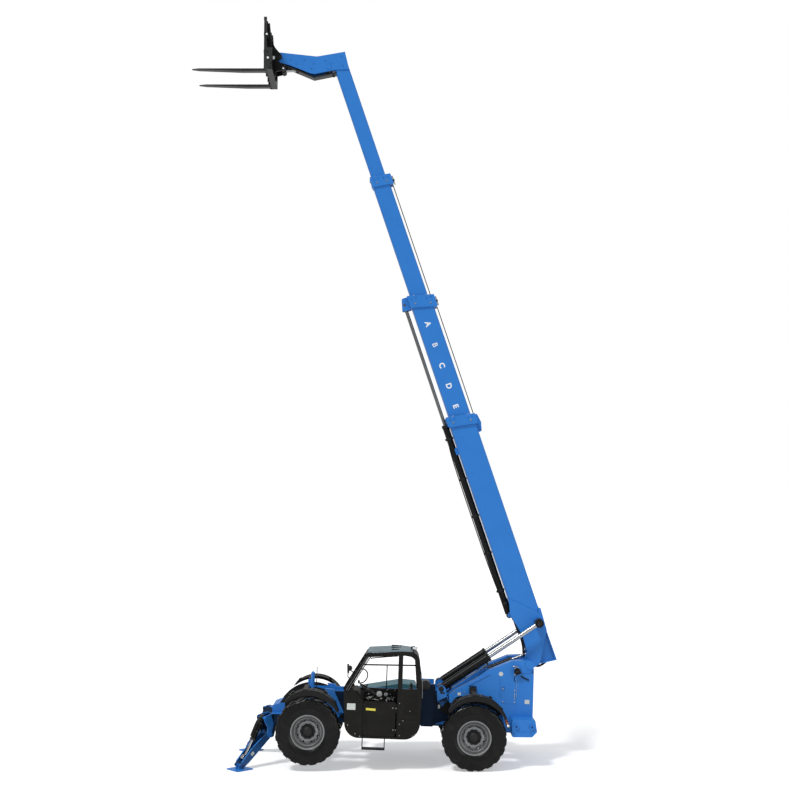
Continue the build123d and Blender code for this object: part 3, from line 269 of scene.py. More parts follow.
# darker copy of the chrome for the extension rod inside the boom: painted shade
ROD_SHADE = finish("rod_shade", (0.17, 0.175, 0.17), 0.22, metallic=1.0, bump=0.01, grain=90, edge=0.003)
STEEL = finish("oiled_steel", (0.33, 0.33, 0.34), 0.36, metallic=0.85, spread=0.12, grain=90, bump=0.05)
IRON = finish("cast_iron", (0.02, 0.02, 0.02), 0.5, metallic=0.3, spread=0.15, grain=90, bump=0.15,
              shine=0.3)
CHAIN = finish("oiled_chain", (0.016, 0.012, 0.009), 0.42, metallic=0.5, spread=0.15, grain=160, bump=0.1,
               edge=0.002)
NYLON = finish("wear_pad", (0.42, 0.45, 0.44), 0.5, edge=0.002)
RIM = finish("rim_silver", (0.27, 0.275, 0.28), 0.36, metallic=0.45, spread=0.08,
             dirt=(0.05, 0.045, 0.04), dirt_share=0.45)
# darker copy of the rim look for its recessed dish: painted shade, with lighter dirt patches
DISH = finish("rim_shade", (0.075, 0.075, 0.075), 0.34, metallic=0.5, spread=0.25, bump=0.05,
              dirt=(0.16, 0.155, 0.15), dirt_share=0.5)
RUBBER = finish("tyre_rubber", (0.0045, 0.0043, 0.004), 0.22, spread=0.18, grain=120, bump=0.12,
                dirt=(0.03, 0.027, 0.023), dirt_share=0.4, edge=0.008, shine=0.22)
HOSE = finish("hose_rubber", (0.004, 0.004, 0.0045), 0.36, spread=0.1, grain=300, bump=0.08, edge=0.002,
              shine=0.2)
PALE = finish("pale_plate", (0.55, 0.58, 0.55), 0.45, spread=0.05, bump=0.01, edge=0.002)
YELLOW = finish("yellow_plate", (0.7, 0.6, 0.07), 0.4, spread=0.05, bump=0.01, edge=0.002)
WHITE = finish("white_paint", (0.8, 0.82, 0.83), 0.4, spread=0.03, bump=0.01, edge=0.001)
RED = finish("red_lens", (0.16, 0.025, 0.015), 0.15, coat=0.6, spread=0.04, bump=0, edge=0.002)
AMBER = finish("amber_lens", (0.3, 0.09, 0.02), 0.15, coat=0.6, spread=0.04, bump=0, edge=0.002)
LENS = finish("lamp_lens", (0.72, 0.74, 0.76), 0.12, metallic=0.3, coat=0.8, spread=0.04, bump=0, edge=0.002)

# the look of each material slot, the CAD nodes with a look of their own, and the slots that pieces name
LOOKS = {
    "blue_paint": BLUE, "black_paint": BLACK, "roof_grey": ROOF, "black_plastic": PLASTIC,
    "seat_vinyl": VINYL, "engine_iron": IRON, "chrome_rod": CHROME, "chain_steel": CHAIN, "rim_grey": RIM,
    "tyre_rubber": RUBBER,
}
OWN_LOOKS = {
    # painted shade: the hood, the engine bay, the stabiliser legs and the extension rod take darkened copies
    # of their paint or chrome
    "cab_shell": CAB, "cab_door": CAB, "extension_rod": ROD_SHADE, "engine_hood": HOOD_SHADE, "engine_bay": BLUE_LOW_SHADE,
    "stabiliser_leg_left": BLUE_LOW_SHADE, "stabiliser_leg_right": BLUE_LOW_SHADE,
}
PIECE_SLOTS = {
    "blue_paint": (BLUE, BLUE_SHADE), "black_paint": (BLACK, CAB), "black_plastic": (PLASTIC,),
    "seat_vinyl": (VINYL,), "chrome_rod": (CHROME,), "chain_steel": (CHAIN,),
    "rim_grey": (RIM, STEEL, NYLON, PALE, YELLOW, WHITE), "roof_grey": (RED, AMBER, LENS),
}
SLOT_OF = {look.name: slot for slot, looks in PIECE_SLOTS.items() for look in looks}
SLOTS = {part["node"]: part["material_slot"] for part in frame["record"]["subparts"]}


def smooth(obj, angle=32):
    """Shade smooth, but for edges sharper than an angle."""
    for face in obj.data.polygons:
        face.use_smooth = True
    obj.data.set_sharp_from_angle(angle=radians(angle))


def rounded(obj, width, angle=40):
    """Round the edges of a piece that are sharper than an angle."""
    edge = obj.modifiers.new("edge", "BEVEL")
    edge.width, edge.segments, edge.limit_method = width, 2, "ANGLE"
    edge.angle_limit = radians(angle)
    edge.harden_normals = True


for name, obj in NODES.items():
    obj.data.materials.clear()
    obj.data.materials.append(OWN_LOOKS.get(name, LOOKS[SLOTS[name]]))
    smooth(obj)


def repaint(name, place, test, look):
    """Give the faces of a CAD node whose middles pass a test, in a frame, another look."""
    mesh, back = NODES[name].data, place.inverted() @ NODES[name].matrix_world
    mesh.materials.append(look)
    for face in mesh.polygons:
        if test(back @ face.center):
            face.material_index = len(mesh.materials) - 1


# ---------------- building pieces
def ring_points(count, radius, y, first=0.0):
    """Points evenly round the y axis; first is the start, as a share of a step."""
    turns = [2 * pi * (i + first) / count for i in range(count)]
    return [(radius * cos(a), y, radius * sin(a)) for a in turns]


def mesh_of(curve):
    """Mesh of a curve or a line of text, which is used up."""
    holder = bpy.data.objects.new("outline", curve)
    mesh = bpy.data.meshes.new_from_object(holder)
    bpy.data.objects.remove(holder)
    bpy.data.curves.remove(curve)
    return mesh


PIECES = []    # those still to be finished


class Piece:
    """Mesh collected in a frame, then finished with rounded edges and set on a body."""

    def __init__(self, name, look, bevel=0.0, body="chassis", place=STAND, slot="usual"):
        self.name, self.look, self.bevel, self.body, self.place = name, look, bevel, body, place
        self.slot = SLOT_OF.get(look.name) if slot == "usual" else slot
        self.bm = bmesh.new()
        PIECES.append(self)

    def box(self, x, y, z, turn=None):
        """Box between pairs of limits; turn is a matrix applied about its middle."""
        middle = Vector(((x[0] + x[1]) / 2, (y[0] + y[1]) / 2, (z[0] + z[1]) / 2))
        size = Matrix.Diagonal((x[1] - x[0], y[1] - y[0], z[1] - z[0], 1))
        where = shift(middle) @ (turn or Matrix()) @ size
        bmesh.ops.create_cube(self.bm, size=1.0, matrix=where)

    def lathe(self, at, axis, profile, steps=32, open_ends=False):
        """Surface of revolution about axis from at; profile is (radius, distance along)."""
        turn = Vector(axis).to_track_quat("Z", "Y").to_matrix().to_4x4()
        where = shift(at) @ turn
        rings = []
        for radius, height in profile:
            points = [(x, z, height) for x, y, z in ring_points(steps if radius else 1, radius, 0)]
            rings.append([self.bm.verts.new(where @ Vector(point)) for point in points])
        for a, b in zip(rings, rings[1:]):
            for i in range(steps):
                j = (i + 1) % steps
                top = (b[j], b[i]) if len(b) > 1 else (b[0],)
                self.bm.faces.new((a[i], a[j], *top))
        if not open_ends:
            for ring, flip in ((rings[0], True), (rings[-1], False)):
                if len(ring) > 1:
                    self.bm.faces.new(ring[::-1] if flip else ring)

    def button(self, at, axis, radius, height, top, crown, steps):
        """Low round head: radius up to height, then drawn in to the top radius at the crown."""
        self.lathe(at, axis, [(radius, 0), (radius, height), (top, crown)], steps)

    def hoop(self, at, axis, profile, steps=32):
        """Ring about axis from at, with a closed (radius, distance along) section."""
        self.lathe(at, axis, profile + profile[:1], steps, open_ends=True)

    def band(self, at, axis, inner, outer, width, steps=32):
        """Ring about axis from at, with a rectangular section."""
        self.hoop(at, axis, [(inner, 0), (outer, 0), (outer, width), (inner, width)], steps)

    def bar(self, a, b, radius, steps=20):
        """Round bar from a to b with small chamfers."""
        run = Vector(b) - Vector(a)
        chamfer = min(radius * 0.15, 0.003)
        half = [(radius - chamfer, 0), (radius, chamfer)]
        self.lathe(a, run, half + [(r, run.length - h) for r, h in reversed(half)], steps)

    def hexagon(self, at, axis, radius, height):
        """Bolt head or nut with a washer under it."""
        washer = height * 0.18
        self.lathe(at, axis, [(radius * 1.25, 0), (radius * 1.25, washer)], 20)
        foot = Vector(at) + Vector(axis).normalized() * washer
        self.button(foot, axis, radius, height * 0.74, radius * 0.86, height * 0.82, 6)

    def bolts(self, spots, y, radius, height, way=1):
        """Bolt heads at (x, z) spots on a face at y that looks along +y or -y."""
        for x, z in spots:
            self.hexagon((x, y, z), (0, way, 0), radius, height)

    def plate(self, outline, y0, y1):
        """Flat plate with an (x, z) outline between two y faces."""
        low = [self.bm.verts.new((x, y0, z)) for x, z in outline]
        high = [self.bm.verts.new((x, y1, z)) for x, z in outline]
        self.bm.faces.new(low)
        self.bm.faces.new(high[::-1])
        for i in range(len(outline)):
            j = (i + 1) % len(outline)
            self.bm.faces.new((low[j], low[i], high[i], high[j]))

    def tube(self, points, radius):
        """Round tube along a smooth line through the run of points."""
        curve = bpy.data.curves.new("path", "CURVE")
        curve.dimensions = "3D"
        spline = curve.splines.new("NURBS")
        spline.points.add(len(points) - 1)
        for knot, point in zip(spline.points, points):
            knot.co = (*point, 1)
        spline.order_u = min(4, len(points))
        spline.use_endpoint_u = True
        spline.resolution_u = 10
        curve.bevel_depth = radius
        curve.bevel_resolution = 2
        curve.use_fill_caps = True
        mesh = mesh_of(curve)
        self.bm.from_mesh(mesh)
        bpy.data.meshes.remove(mesh)

    def mesh(self):
        """The collected mesh, with its look."""
        PIECES.remove(self)
        bmesh.ops.recalc_face_normals(self.bm, faces=self.bm.faces)
        mesh = bpy.data.meshes.new(self.name)
        self.bm.to_mesh(mesh)
        self.bm.free()
        mesh.materials.append(self.look)
        return mesh

    def done(self):
        """Turn the collected mesh into an object on its body."""
        obj = added(self.name, self.mesh())
        obj.data.transform(self.place)
        smooth(obj)
        if self.bevel:
            rounded(obj, self.bevel)
        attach(obj, self.body)
        return obj


# ---------------- wheels
LUGS = 20
# a lug's sections outward across the tread: y, its two edges along the tread, top radius, foot radius
LUG_SECTIONS = (
    (0.012, -0.022, 0.026, 0.6745, 0.648), (0.07, -0.01, 0.06, 0.6745, 0.648),
    (0.128, 0.002, 0.112, 0.6735, 0.645), (0.16, 0.006, 0.144, 0.662, 0.615),
    (0.1805, 0.01, 0.146, 0.632, 0.59), (0.1835, 0.016, 0.138, 0.59, 0.575),
)


def tyre_mesh():
    """Tyre about the y axis: rounded carcass with sidewall rings, two rows of chunky slanted lugs."""
    made = Piece("tyre", RUBBER)
    half = 0.183
    side = [
        (0.305, -0.112), (0.345, -0.128), (0.352, -0.15), (0.362, -0.16), (0.378, -0.163),
        (0.388, -0.172), (0.43, -0.181), (0.47, -half), (0.478, -half - 0.002), (0.486, -half),
        (0.54, -0.182), (0.592, -0.176), (0.63, -0.166), (0.65, -0.146), (0.658, -0.11), (0.66, -0.04),
    ]
    made.hoop((0, 0, 0), OUT, side + [(r, -y) for r, y in reversed(side)], 96)
    for row in SIDES:
        for i in range(LUGS):
            turn = 2 * pi * (i + (0.5 if row < 0 else 0.0)) / LUGS
            loops = []
            for y, t0, t1, top, foot in LUG_SECTIONS:
                loop = []
                for t, r, pull in ((t0, foot, 0.0), (t0, top, 0.006), (t1, top, -0.006), (t1, foot, 0.0)):
                    a = turn + (t + pull) / TYRE_R * row
                    y_here = y if r == top else min(y, 0.17)
                    loop.append(made.bm.verts.new((r * cos(a), row * y_here, r * sin(a))))
                loops.append(loop)
            for a, b in zip(loops, loops[1:]):
                for k in range(3):
                    made.bm.faces.new((a[k], a[k + 1], b[k + 1], b[k]))
            made.bm.faces.new(loops[0])
            made.bm.faces.new(loops[-1][::-1])
    return made.mesh()


TYRE = tyre_mesh()
for end, x in ENDS:
    for hand, side in HANDS:
        name = f"{end}_{hand}"
        hub = STAND @ shift((x, 1.1 * side, TYRE_R))
        out_way = mirrored(hub, side)
        mesh = TYRE.copy()
        mesh.transform(hub)
        rubber = added(f"tyre_detail_{name}", mesh)
        smooth(rubber, 38)
        rounded(rubber, 0.005, 42)
        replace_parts(rubber, f"tyre_{name}")
        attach(rubber, f"wheel_{name}")
        # painted shade on the rim's recessed dish
        repaint(f"rim_{name}", hub, lambda p: 0.222 < hypot(p.x, p.z) < 0.318, DISH)
        # rim face: bead ring, hub drive with lobes, nuts and drain plug
        ring = Piece(f"rim_ring_{name}", RIM, 0.003, f"wheel_{name}", out_way)
        bead = [(0.332, 0), (0.35, 0.004), (0.356, 0.012), (0.35, 0.019), (0.33, 0.016), (0.326, 0.006)]
        ring.hoop((0, 0.136, 0), OUT, bead, 72)
        ring.hoop((0, 0.066, 0), OUT, [(0.268, 0), (0.284, 0.004), (0.286, 0.016), (0.268, 0.012)], 64)
        for point in ring_points(16, 0.246, 0.046):
            ring.button(point, OUT, 0.011, 0.01, 0.007, 0.013, 12)
        drive = Piece(f"hub_drive_{name}", IRON, 0.003, f"wheel_{name}", out_way)
        lobes = []
        for i in range(80):
            a = 2 * pi * i / 80
            r = 0.15 + 0.012 * max(0.0, cos(10 * a)) ** 0.6
            lobes.append((r * cos(a), r * sin(a)))
        drive.plate(lobes, 0.02, 0.036)
        cap = [(0.102, 0), (0.102, 0.05), (0.09, 0.066), (0.074, 0.074), (0.074, 0.096), (0.06, 0.104)]
        drive.lathe((0, 0.03, 0), OUT, cap + [(0, 0.104)], 40)
        for point in ring_points(10, 0.128, 0.036):
            drive.hexagon(point, OUT, 0.017, 0.03)
        for point in ring_points(6, 0.056, 0.132, 0.5):
            drive.hexagon(point, OUT, 0.007, 0.008)
        drive.hexagon((0.03, 0.132, -0.01), OUT, 0.01, 0.012)
        valve = Piece(f"valve_{name}", STEEL, 0, f"wheel_{name}", out_way, slot=None)
        valve.tube([(0.27, 0.07, 0.07), (0.276, 0.1, 0.072), (0.29, 0.125, 0.076)], 0.006)


# ---------------- boom, in the boom frame
# body: collar's rear and front at the bottom, bottom, top, half width, lean back, half width and depth inside
COLLARS = {
    "boom_1": (5.34, 5.57, 0.005, 0.65, 0.228, 0.11, 0.157, 0.237),
    "boom_2": (8.12, 8.4, 0.055, 0.64, 0.188, 0.15, 0.126, 0.19),
    "boom_3": (10.975, 11.215, 0.118, 0.59, 0.156, 0.06, 0.1, 0.158),
}
TUBE_HALF = {"boom_1": 0.19, "boom_2": 0.157, "boom_3": 0.126}
MID = 0.323
for body, (u0, u1, low, high, half, lean, inner, depth) in COLLARS.items():
    def at_height(u, v):
        return u - lean * (v - low) / (high - low)

    pale = Piece(f"pad_adjusters_{body}", STEEL, 0.001, body, BOOM)
    screws = Piece(f"pad_screws_{body}", BLUE, 0.001, body, BOOM)
    for side in SIDES:
        for v in (low + 0.13, high - 0.13):
            pale.hexagon((at_height(u0 + 0.09, v), side * half, v), (0, side, 0), 0.016, 0.016)
            for step in (-0.05, 0.05):
                screws.hexagon((at_height(u1 - 0.06, v), side * half, v + step), (0, side, 0), 0.012, 0.014)
        for u in (u0 + 0.05, u1 - 0.06):
            screws.hexagon((u - lean, side * inner * 0.75, high), UP, 0.013, 0.016)
            screws.hexagon((u, side * inner * 0.75, low), (0, 0, -1), 0.013, 0.016)
    pads = Piece(f"wear_pads_{body}", NYLON, 0.003, body, BOOM, slot="black_plastic")
    for v in (MID - depth * 0.72, MID + depth * 0.72):
        u = at_height(u1, v)
        for side in SIDES:
            y = sorted((side * (inner + 0.002), side * (inner + 0.02)))
            pads.box((u - 0.06, u + 0.01), y, (v - 0.045, v + 0.045))
    # weld beads where the collar meets the tube
    bead = Piece(f"collar_weld_{body}", BLUE, 0, body, BOOM)
    for side in SIDES:
        y = side * (TUBE_HALF[body] + 0.003)
        foot, head = [(at_height(u0, v), y, v) for v in (low + 0.03, high - 0.03)]
        bead.bar(foot, head, 0.008, 8)

# boom-extension scale letters, read down the boom
for letter, u in zip("ABCDE", (7.66, 7.17, 6.69, 6.21, 5.74)):
    for hand, side in HANDS:
        sign = bpy.data.curves.new(f"letter_{letter}", "FONT")
        sign.body, sign.size, sign.extrude = letter, 0.165, 0.0006
        sign.offset = 0.002 if letter == "B" else 0.006
        sign.align_x, sign.align_y = "CENTER", "CENTER"
        mesh = mesh_of(sign)
        face = Matrix(((-side, 0, 0, 0), (0, 0, side, 0), (0, 1, 0, 0), (0, 0, 0, 1)))
        mesh.transform(BOOM @ shift((u, side * 0.1578, 0.3)) @ face)
        mesh.materials.clear()
        mesh.materials.append(WHITE)
        mark = added(f"scale_{letter}_{hand}", mesh)
        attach(mark, "boom_2")

# chain anchors on the collars: bracket, threaded rods and nuts
STRANDS = (-0.023, 0.023)    # y of a leaf chain's two strands
for body, u, v in (("boom_2", 8.06, 0.64), ("boom_3", 10.96, 0.59)):
    anchor = Piece(f"chain_anchor_{body}", BLACK, 0.002, body, BOOM)
    anchor.box((u, u + 0.14), (-0.05, 0.05), (v - 0.002, v + 0.016))
    anchor.box((u + 0.045, u + 0.07), (-0.05, 0.05), (v + 0.012, v + 0.055))
    rods = Piece(f"anchor_rods_{body}", STEEL, 0, body, BOOM)
    for y in STRANDS:
        rods.bar((u - 0.05, y, v + 0.035), (u + 0.16, y, v + 0.035), 0.008, 10)
        for start, way in ((u + 0.07, 1), (u + 0.045, -1)):
            rods.hexagon((start, y, v + 0.035), (way, 0, 0), 0.014, 0.018)


def chain_pins(name, body, u0, u1, v):
    """Pins across both strands of a leaf chain's plain run."""
    links = Piece(name, CHAIN, 0, body, BOOM)
    for y in STRANDS:
        u = u0 + 0.03
        while u < u1 - 0.03:
            links.bar((u, y - 0.016, v), (u, y + 0.016, v), 0.0055, 6)
            u += 0.038


chain_pins("chain_pins_lower", "boom_2", 5.6, 7.96, 0.632)
chain_pins("chain_pins_upper", "boom_3", 8.42, 10.92, 0.576)

# extension cylinder: clamps, ports and hoses
EXT_V = -0.045
gear = Piece("extension_clamps", BLACK, 0.002, "boom_1", BOOM)
for u in (1.6, 2.45, 3.3, 4.15, 5.08):
    gear.band((u, 0, EXT_V), ALONG, 0.072, 0.08, 0.05)
    gear.box((u, u + 0.05), (-0.02, 0.02), (EXT_V - 0.098, EXT_V - 0.078))
gland = [(0.04, 0), (0.076, 0), (0.081, 0.008), (0.081, 0.062), (0.074, 0.074), (0.04, 0.074)]
gear.hoop((5.35, 0, EXT_V), ALONG, gland, 40)
gear.box((1.3, 1.37), (0.045, 0.105), (EXT_V - 0.035, EXT_V + 0.035))
lines = Piece("extension_hoses", HOSE, 0, "boom_1", BOOM)
lines.tube([(1.33, 0.095, EXT_V), (1.3, 0.13, EXT_V + 0.02), (1.05, 0.15, 0.04), (0.86, 0.15, 0.06)], 0.013)
lines.tube([(1.34, 0.075, EXT_V - 0.03), (1.55, 0.085, EXT_V - 0.075), (2.4, 0.03, EXT_V - 0.092),
            (4.0, 0.02, EXT_V - 0.092), (4.85, 0.03, EXT_V - 0.09), (5.02, 0.055, EXT_V - 0.05)], 0.011)

# hoses inside the boom foot, and the loop that hangs under it
foot = Piece("boom_foot_hoses", HOSE, 0, "boom_1", BOOM)
for i, y in enumerate((-0.165, -0.135, 0.135, 0.165)):
    lift = 0.012 * i
    foot.tube([(0.12, y, -0.02 - lift), (0.34, y, 0.04), (0.52, y, 0.045 + lift), (0.66, y, 0.03),
               (0.92, y, 0.015), (1.02, y, 0.05)], 0.014)
for y in (-0.03, 0.03, 0.08):
    foot.tube([(-0.115, y, 0.4), (-0.15, y, 0.33), (-0.175, y * 1.1, 0.22), (-0.14, y * 1.2, 0.12),
               (-0.06, y * 1.2, 0.1), (0.02, y, 0.16)], 0.014)
clips = Piece("boom_foot_clips", BLUE, 0.001, "boom_1", BOOM)
for u, v in ((0.52, 0.06), (0.92, 0.03)):
    for y in (-0.15, 0.15):
        clips.box((u, u + 0.03), (y - 0.035, y + 0.035), (v - 0.032, v - 0.026))
for side in SIDES:
    clips.bolts(((0.3, 0.43), (0.62, 0.53), (0.95, 0.56)), side * 0.224, 0.012, 0.012, side)

# keeper plates over the lift cylinders' upper pins
pins = Piece("boom_foot_pins", IRON, 0.002, "boom_1", BOOM)
for side in SIDES:
    keeper = [(0.092, 0), (0.1, 0.004), (0.1, 0.02), (0.086, 0.024)]
    pins.lathe((LIFT_EYE[0], side * 0.366, LIFT_EYE[1]), (0, -side, 0), keeper, 40)


# ---------------- cylinders, each along x from its base pin
def dress(name, place, body, radius, length, rod, base):
    """Gland, ports, a rigid line with clamps and its fittings on one barrel."""
    iron = Piece(f"{name}_fittings", BLACK, 0.002, body, place)
    rim, bore = radius + 0.01, rod + 0.002
    gland = [(bore, 0), (rim - 0.002, 0), (rim, 0.006), (rim, 0.044), (radius, 0.056), (bore, 0.056)]
    iron.hoop((length - 0.05, 0, 0), ALONG, gland, 40)
    up = radius + 0.03
    for x in (base, length - 0.12):
        iron.box((x - 0.025, x + 0.025), (-0.026, 0.026), (radius * 0.8, up + 0.014))
    for share in (0.33, 0.66):
        x = base + (length - base) * share
        iron.band((x, 0, 0), ALONG, radius, radius + 0.005, 0.03)
        iron.box((x, x + 0.03), (-0.022, 0.022), (radius * 0.9, up + 0.01))
    pipe = Piece(f"{name}_pipe", CHROME, 0, body, place)
    for y in (-0.022, 0.022):
        run = ((base, 0), (base + 0.05, 0.004), (length - 0.3, 0.004), (length - 0.14, 0))
        pipe.tube([(x, y, up + rise) for x, rise in run], 0.01)
    for x in (base + 0.026, length - 0.146):
        pipe.hexagon((x, 0, up), ALONG, 0.015, 0.022)


for place, (hand, side) in zip(LIFT, HANDS):
    dress(f"lift_{hand}", place, "lift_barrels", 0.086, 1.225, 0.048, 0.17)
    hose = Piece(f"lift_hoses_{hand}", HOSE, 0, "lift_barrels", place)
    hose.tube([(0.17, 0, 0.125), (0.08, 0, 0.15), (0.0, 0, 0.12), (-0.06, 0, 0.02)], 0.014)
    hose.tube([(0.2, 0.045, 0.1), (0.1, 0.06, 0.135), (0.01, 0.05, 0.125), (-0.05, 0.045, 0.03)], 0.014)
    base_pin = Piece(f"lift_base_pin_{hand}", IRON, 0.002)
    keeper = [(0.052, 0), (0.056, 0.004), (0.056, 0.012), (0.046, 0.015)]
    base_pin.lathe((LIFT_BASE[0], side * 0.562, LIFT_BASE[1]), (0, side, 0), keeper, 32)
    base_pin.box((0.6, 0.7), sorted((side * 0.562, side * 0.572)), (1.455, 1.485))
eye = Vector((dist(LIFT_BASE, boom_xz(*LIFT_EYE)), 0, 0))


def on_lift_eye(p):
    """The rod's eye, without the rod that runs into it."""
    rod = p.yz.length < 0.0485 and p.x < eye.x - 0.08
    return abs(p.y) < 0.2 and (p - eye).xz.length < 0.105 and not rod


for place in LIFT:
    repaint("lift_rods", place, on_lift_eye, BLACK)

dress("level", LEVEL, "compensating_barrel", 0.056, 0.596, 0.03, 0.12)
repaint("compensating_rod", LEVEL, lambda p: p.yz.length > 0.031 or p.x > 1.1, BLACK)
hose = Piece("level_hoses", HOSE, 0, "compensating_barrel", LEVEL)
for y in (-0.02, 0.02):
    hose.tube([(0.12, y, 0.09), (0.04, y * 2, 0.13), (-0.06, y * 3, 0.1), (-0.12, y * 4, -0.02)], 0.012)

dress("tilt", TILT, "tilt_barrel", 0.057, 0.745, 0.034, 0.14)
reach = dist(TILT_BASE, TILT_EYE)
repaint("tilt_rod", TILT, lambda p: p.yz.length > 0.035 or p.x > reach - 0.05, IRON)


# ---------------- boom head
strip = Piece("gooseneck_guard", BLACK, 0.003, "boom_4", BOOM)
path = [(13.738, 0.175), (13.8, -0.345), (14.18, -0.775), (14.3, -0.945)]
for a, b in zip(path, path[1:]):
    run = Vector((b[0] - a[0], 0, b[1] - a[1]))
    out = Vector((run.z, 0, -run.x)).normalized() * 0.028
    strip.plate([(a[0], a[1]), (b[0], b[1]), (b[0] - out.x, b[1] - out.z), (a[0] - out.x, a[1] - out.z)],
                -0.098, 0.098)

cover = Piece("gooseneck_screws", BLUE, 0.001, "boom_4", BOOM)
spots = ((13.86, 0.36), (14.08, 0.4), (14.1, 0.02), (14.02, -0.33), (14.26, -0.42), (14.36, -0.72))
for side in SIDES:
    cover.bolts(spots, side * 0.118, 0.013, 0.012, side)
    disc = [(0.044, 0), (0.044, 0.004)]
    cover.lathe((FORK_PIVOT[0], side * 0.132, FORK_PIVOT[1]), (0, side, 0), disc, 28)

hose = Piece("gooseneck_hoses", HOSE, 0, "boom_4", BOOM)
for y in (-0.05, -0.015, 0.02):
    hose.tube([(13.72, y, 0.11), (13.78, y, 0.06), (13.84, y * 1.2, -0.01), (13.9, y * 1.3, -0.06)], 0.012)

# ---------------- fork carriage, from the fork pivot, level
BAR_X, BAR_Z = 0.07, -0.18    # the bar on which the forks hang
pins = Piece("carriage_pins", WHITE, 0.002, "carriage", HEAD)
for side in SIDES:
    way = (0, side, 0)
    pins.button((0, side * 0.174, 0), way, 0.04, 0.01, 0.034, 0.014, 32)
    pins.button((BAR_X, side * 0.64, BAR_Z), way, 0.026, 0.012, 0.02, 0.016, 24)
    pins.button((0.1, side * 0.64, 0.36), way, 0.022, 0.012, 0.016, 0.016, 24)
    pins.button((-0.228, side * 0.17, -0.244), way, 0.022, 0.01, 0.018, 0.013, 24)
plates = Piece("carriage_gussets", BLACK, 0.002, "carriage", HEAD)
for side in SIDES:
    y = sorted((side * 0.352, side * 0.364))
    plates.plate([(0.06, -0.33), (0.108, -0.33), (0.108, -0.1), (0.075, -0.1)], *y)
    plates.bolts(((0.03, -0.385), (0.085, -0.03), (0, -0.3)), side * 0.64, 0.016, 0.014, side)
collars = Piece("fork_bar_collars", BLACK, 0.002, "carriage", HEAD)
for y in (-0.6, -0.42, 0.4, 0.58):
    collars.band((BAR_X, y, BAR_Z), OUT, 0.026, 0.038, 0.022, 28)
hooks = Piece("fork_hooks", IRON, 0.002, "carriage", HEAD)
for y in (-0.5, 0.5):
    hooks.band((BAR_X, y - 0.05, BAR_Z), OUT, 0.028, 0.044, 0.1)
    hooks.box((0.085, 0.114), (y - 0.05, y + 0.05), (-0.215, -0.145))
    hooks.box((0.1705, 0.18), (y - 0.02, y + 0.02), (-0.02, 0.045))


# ---------------- cab, in the machine's level frame
CAB_Y = 1.28


def pillar(t, out=0.0):
    """(x, z) on the windscreen pillar's front edge, t from foot to brow, out ahead of it."""
    return (2.716 - 0.454 * t + out * 0.86, 1.559 + 0.763 * t + out * 0.51)


trim = Piece("cab_trim", CAB, 0.002)
y0, y1 = CAB_Y - 0.002, CAB_Y + 0.006
for t0, t1 in ((0.06, 0.3), (0.34, 0.62), (0.66, 0.96)):
    a, b = pillar(t0, -0.03), pillar(t1, -0.03)
    c, d = pillar(t1, -0.07), pillar(t0, -0.07)
    trim.plate([a, b, c, d], y0, y1)
trim.plate([(2.2, 2.262), (1.64, 2.322), (1.64, 2.346), (2.212, 2.286)], CAB_Y - 0.004, y1)
trim.plate([(2.306, 0.7), (2.306, 1.56), (2.322, 1.56), (2.322, 0.7)], y0, y1 - 0.002)
trim.plate([(1.155, 1.005), (1.5, 1.005), (1.5, 1.022), (1.152, 1.022)], y0, y1)
for i in range(8):
    x = 1.19 + 0.036 * i
    trim.plate([(x, 1.1), (x + 0.016, 1.1), (x + 0.016, 1.5), (x, 1.5)], y0, y1 + 0.001)

tubes = Piece("pillar_lines", HOSE)
for out, radius, wave in ((0.014, 0.02, 0.006), (-0.06, 0.012, 0.008), (-0.1, 0.009, -0.006)):
    run = [pillar(0.02 + 0.95 * i / 16, out + wave * (-1) ** i) for i in range(17)]
    tubes.tube([(x, CAB_Y + (0.004 if out < 0 else -0.035), z) for x, z in run], radius)
tubes.tube([(2.43, 1.13, 1.965), (2.36, 1.12, 1.992), (2.27, 1.11, 1.965), (2.232, 1.1, 1.88),
            (2.24, 1.1, 1.8), (2.285, 1.1, 1.725), (2.35, 1.11, 1.69), (2.42, 1.12, 1.69)], 0.012)
tubes.box((2.395, 2.435), (1.09, 1.15), (1.69, 1.745))
tubes.tube([(2.185, 1.22, 2.215), (1.95, 1.22, 2.25), (1.62, 1.22, 2.28)], 0.011)
# light steel lines along the pillar, standing for highlights on its hoses: painted highlight
highlight_beads = Piece("pillar_highlight_lines", STEEL)
for out in (-0.042, -0.082):
    run = [pillar(0.04 + 0.1 * i, out) for i in range(10)]
    highlight_beads.tube([(x, CAB_Y + 0.006, z) for x, z in run], 0.004)
clips = Piece("pillar_clips", STEEL, 0.001)
for t in (0.12, 0.32, 0.52, 0.72, 0.9):
    x, z = pillar(t, 0.004)
    clips.box((x - 0.02, x + 0.02), (CAB_Y - 0.052, CAB_Y - 0.018), (z - 0.007, z + 0.007))
hinge_bolts = ((1.693, 1.229), (1.627, 1.231), (1.677, 0.791), (1.626, 0.792))
side_bolts = ((1.55, 0.91), (1.542, 0.681), (1.479, 0.984), (2.61, 0.86), (2.45, 0.69), (2.355, 0.64),
              (1.27, 0.68), (1.225, 0.72), (1.34, 1.18), (1.56, 1.33))
clips.bolts(hinge_bolts, CAB_Y + 0.006, 0.011, 0.01)
clips.bolts(side_bolts, CAB_Y, 0.01, 0.009)

rear_line = Piece("cab_rear_conduit", STEEL)
rear_line.tube([(1.245, 1.255, 2.32), (1.165, 1.262, 2.16), (1.118, 1.262, 1.9), (1.092, 1.262, 1.6),
                (1.098, 1.262, 1.45)], 0.007)

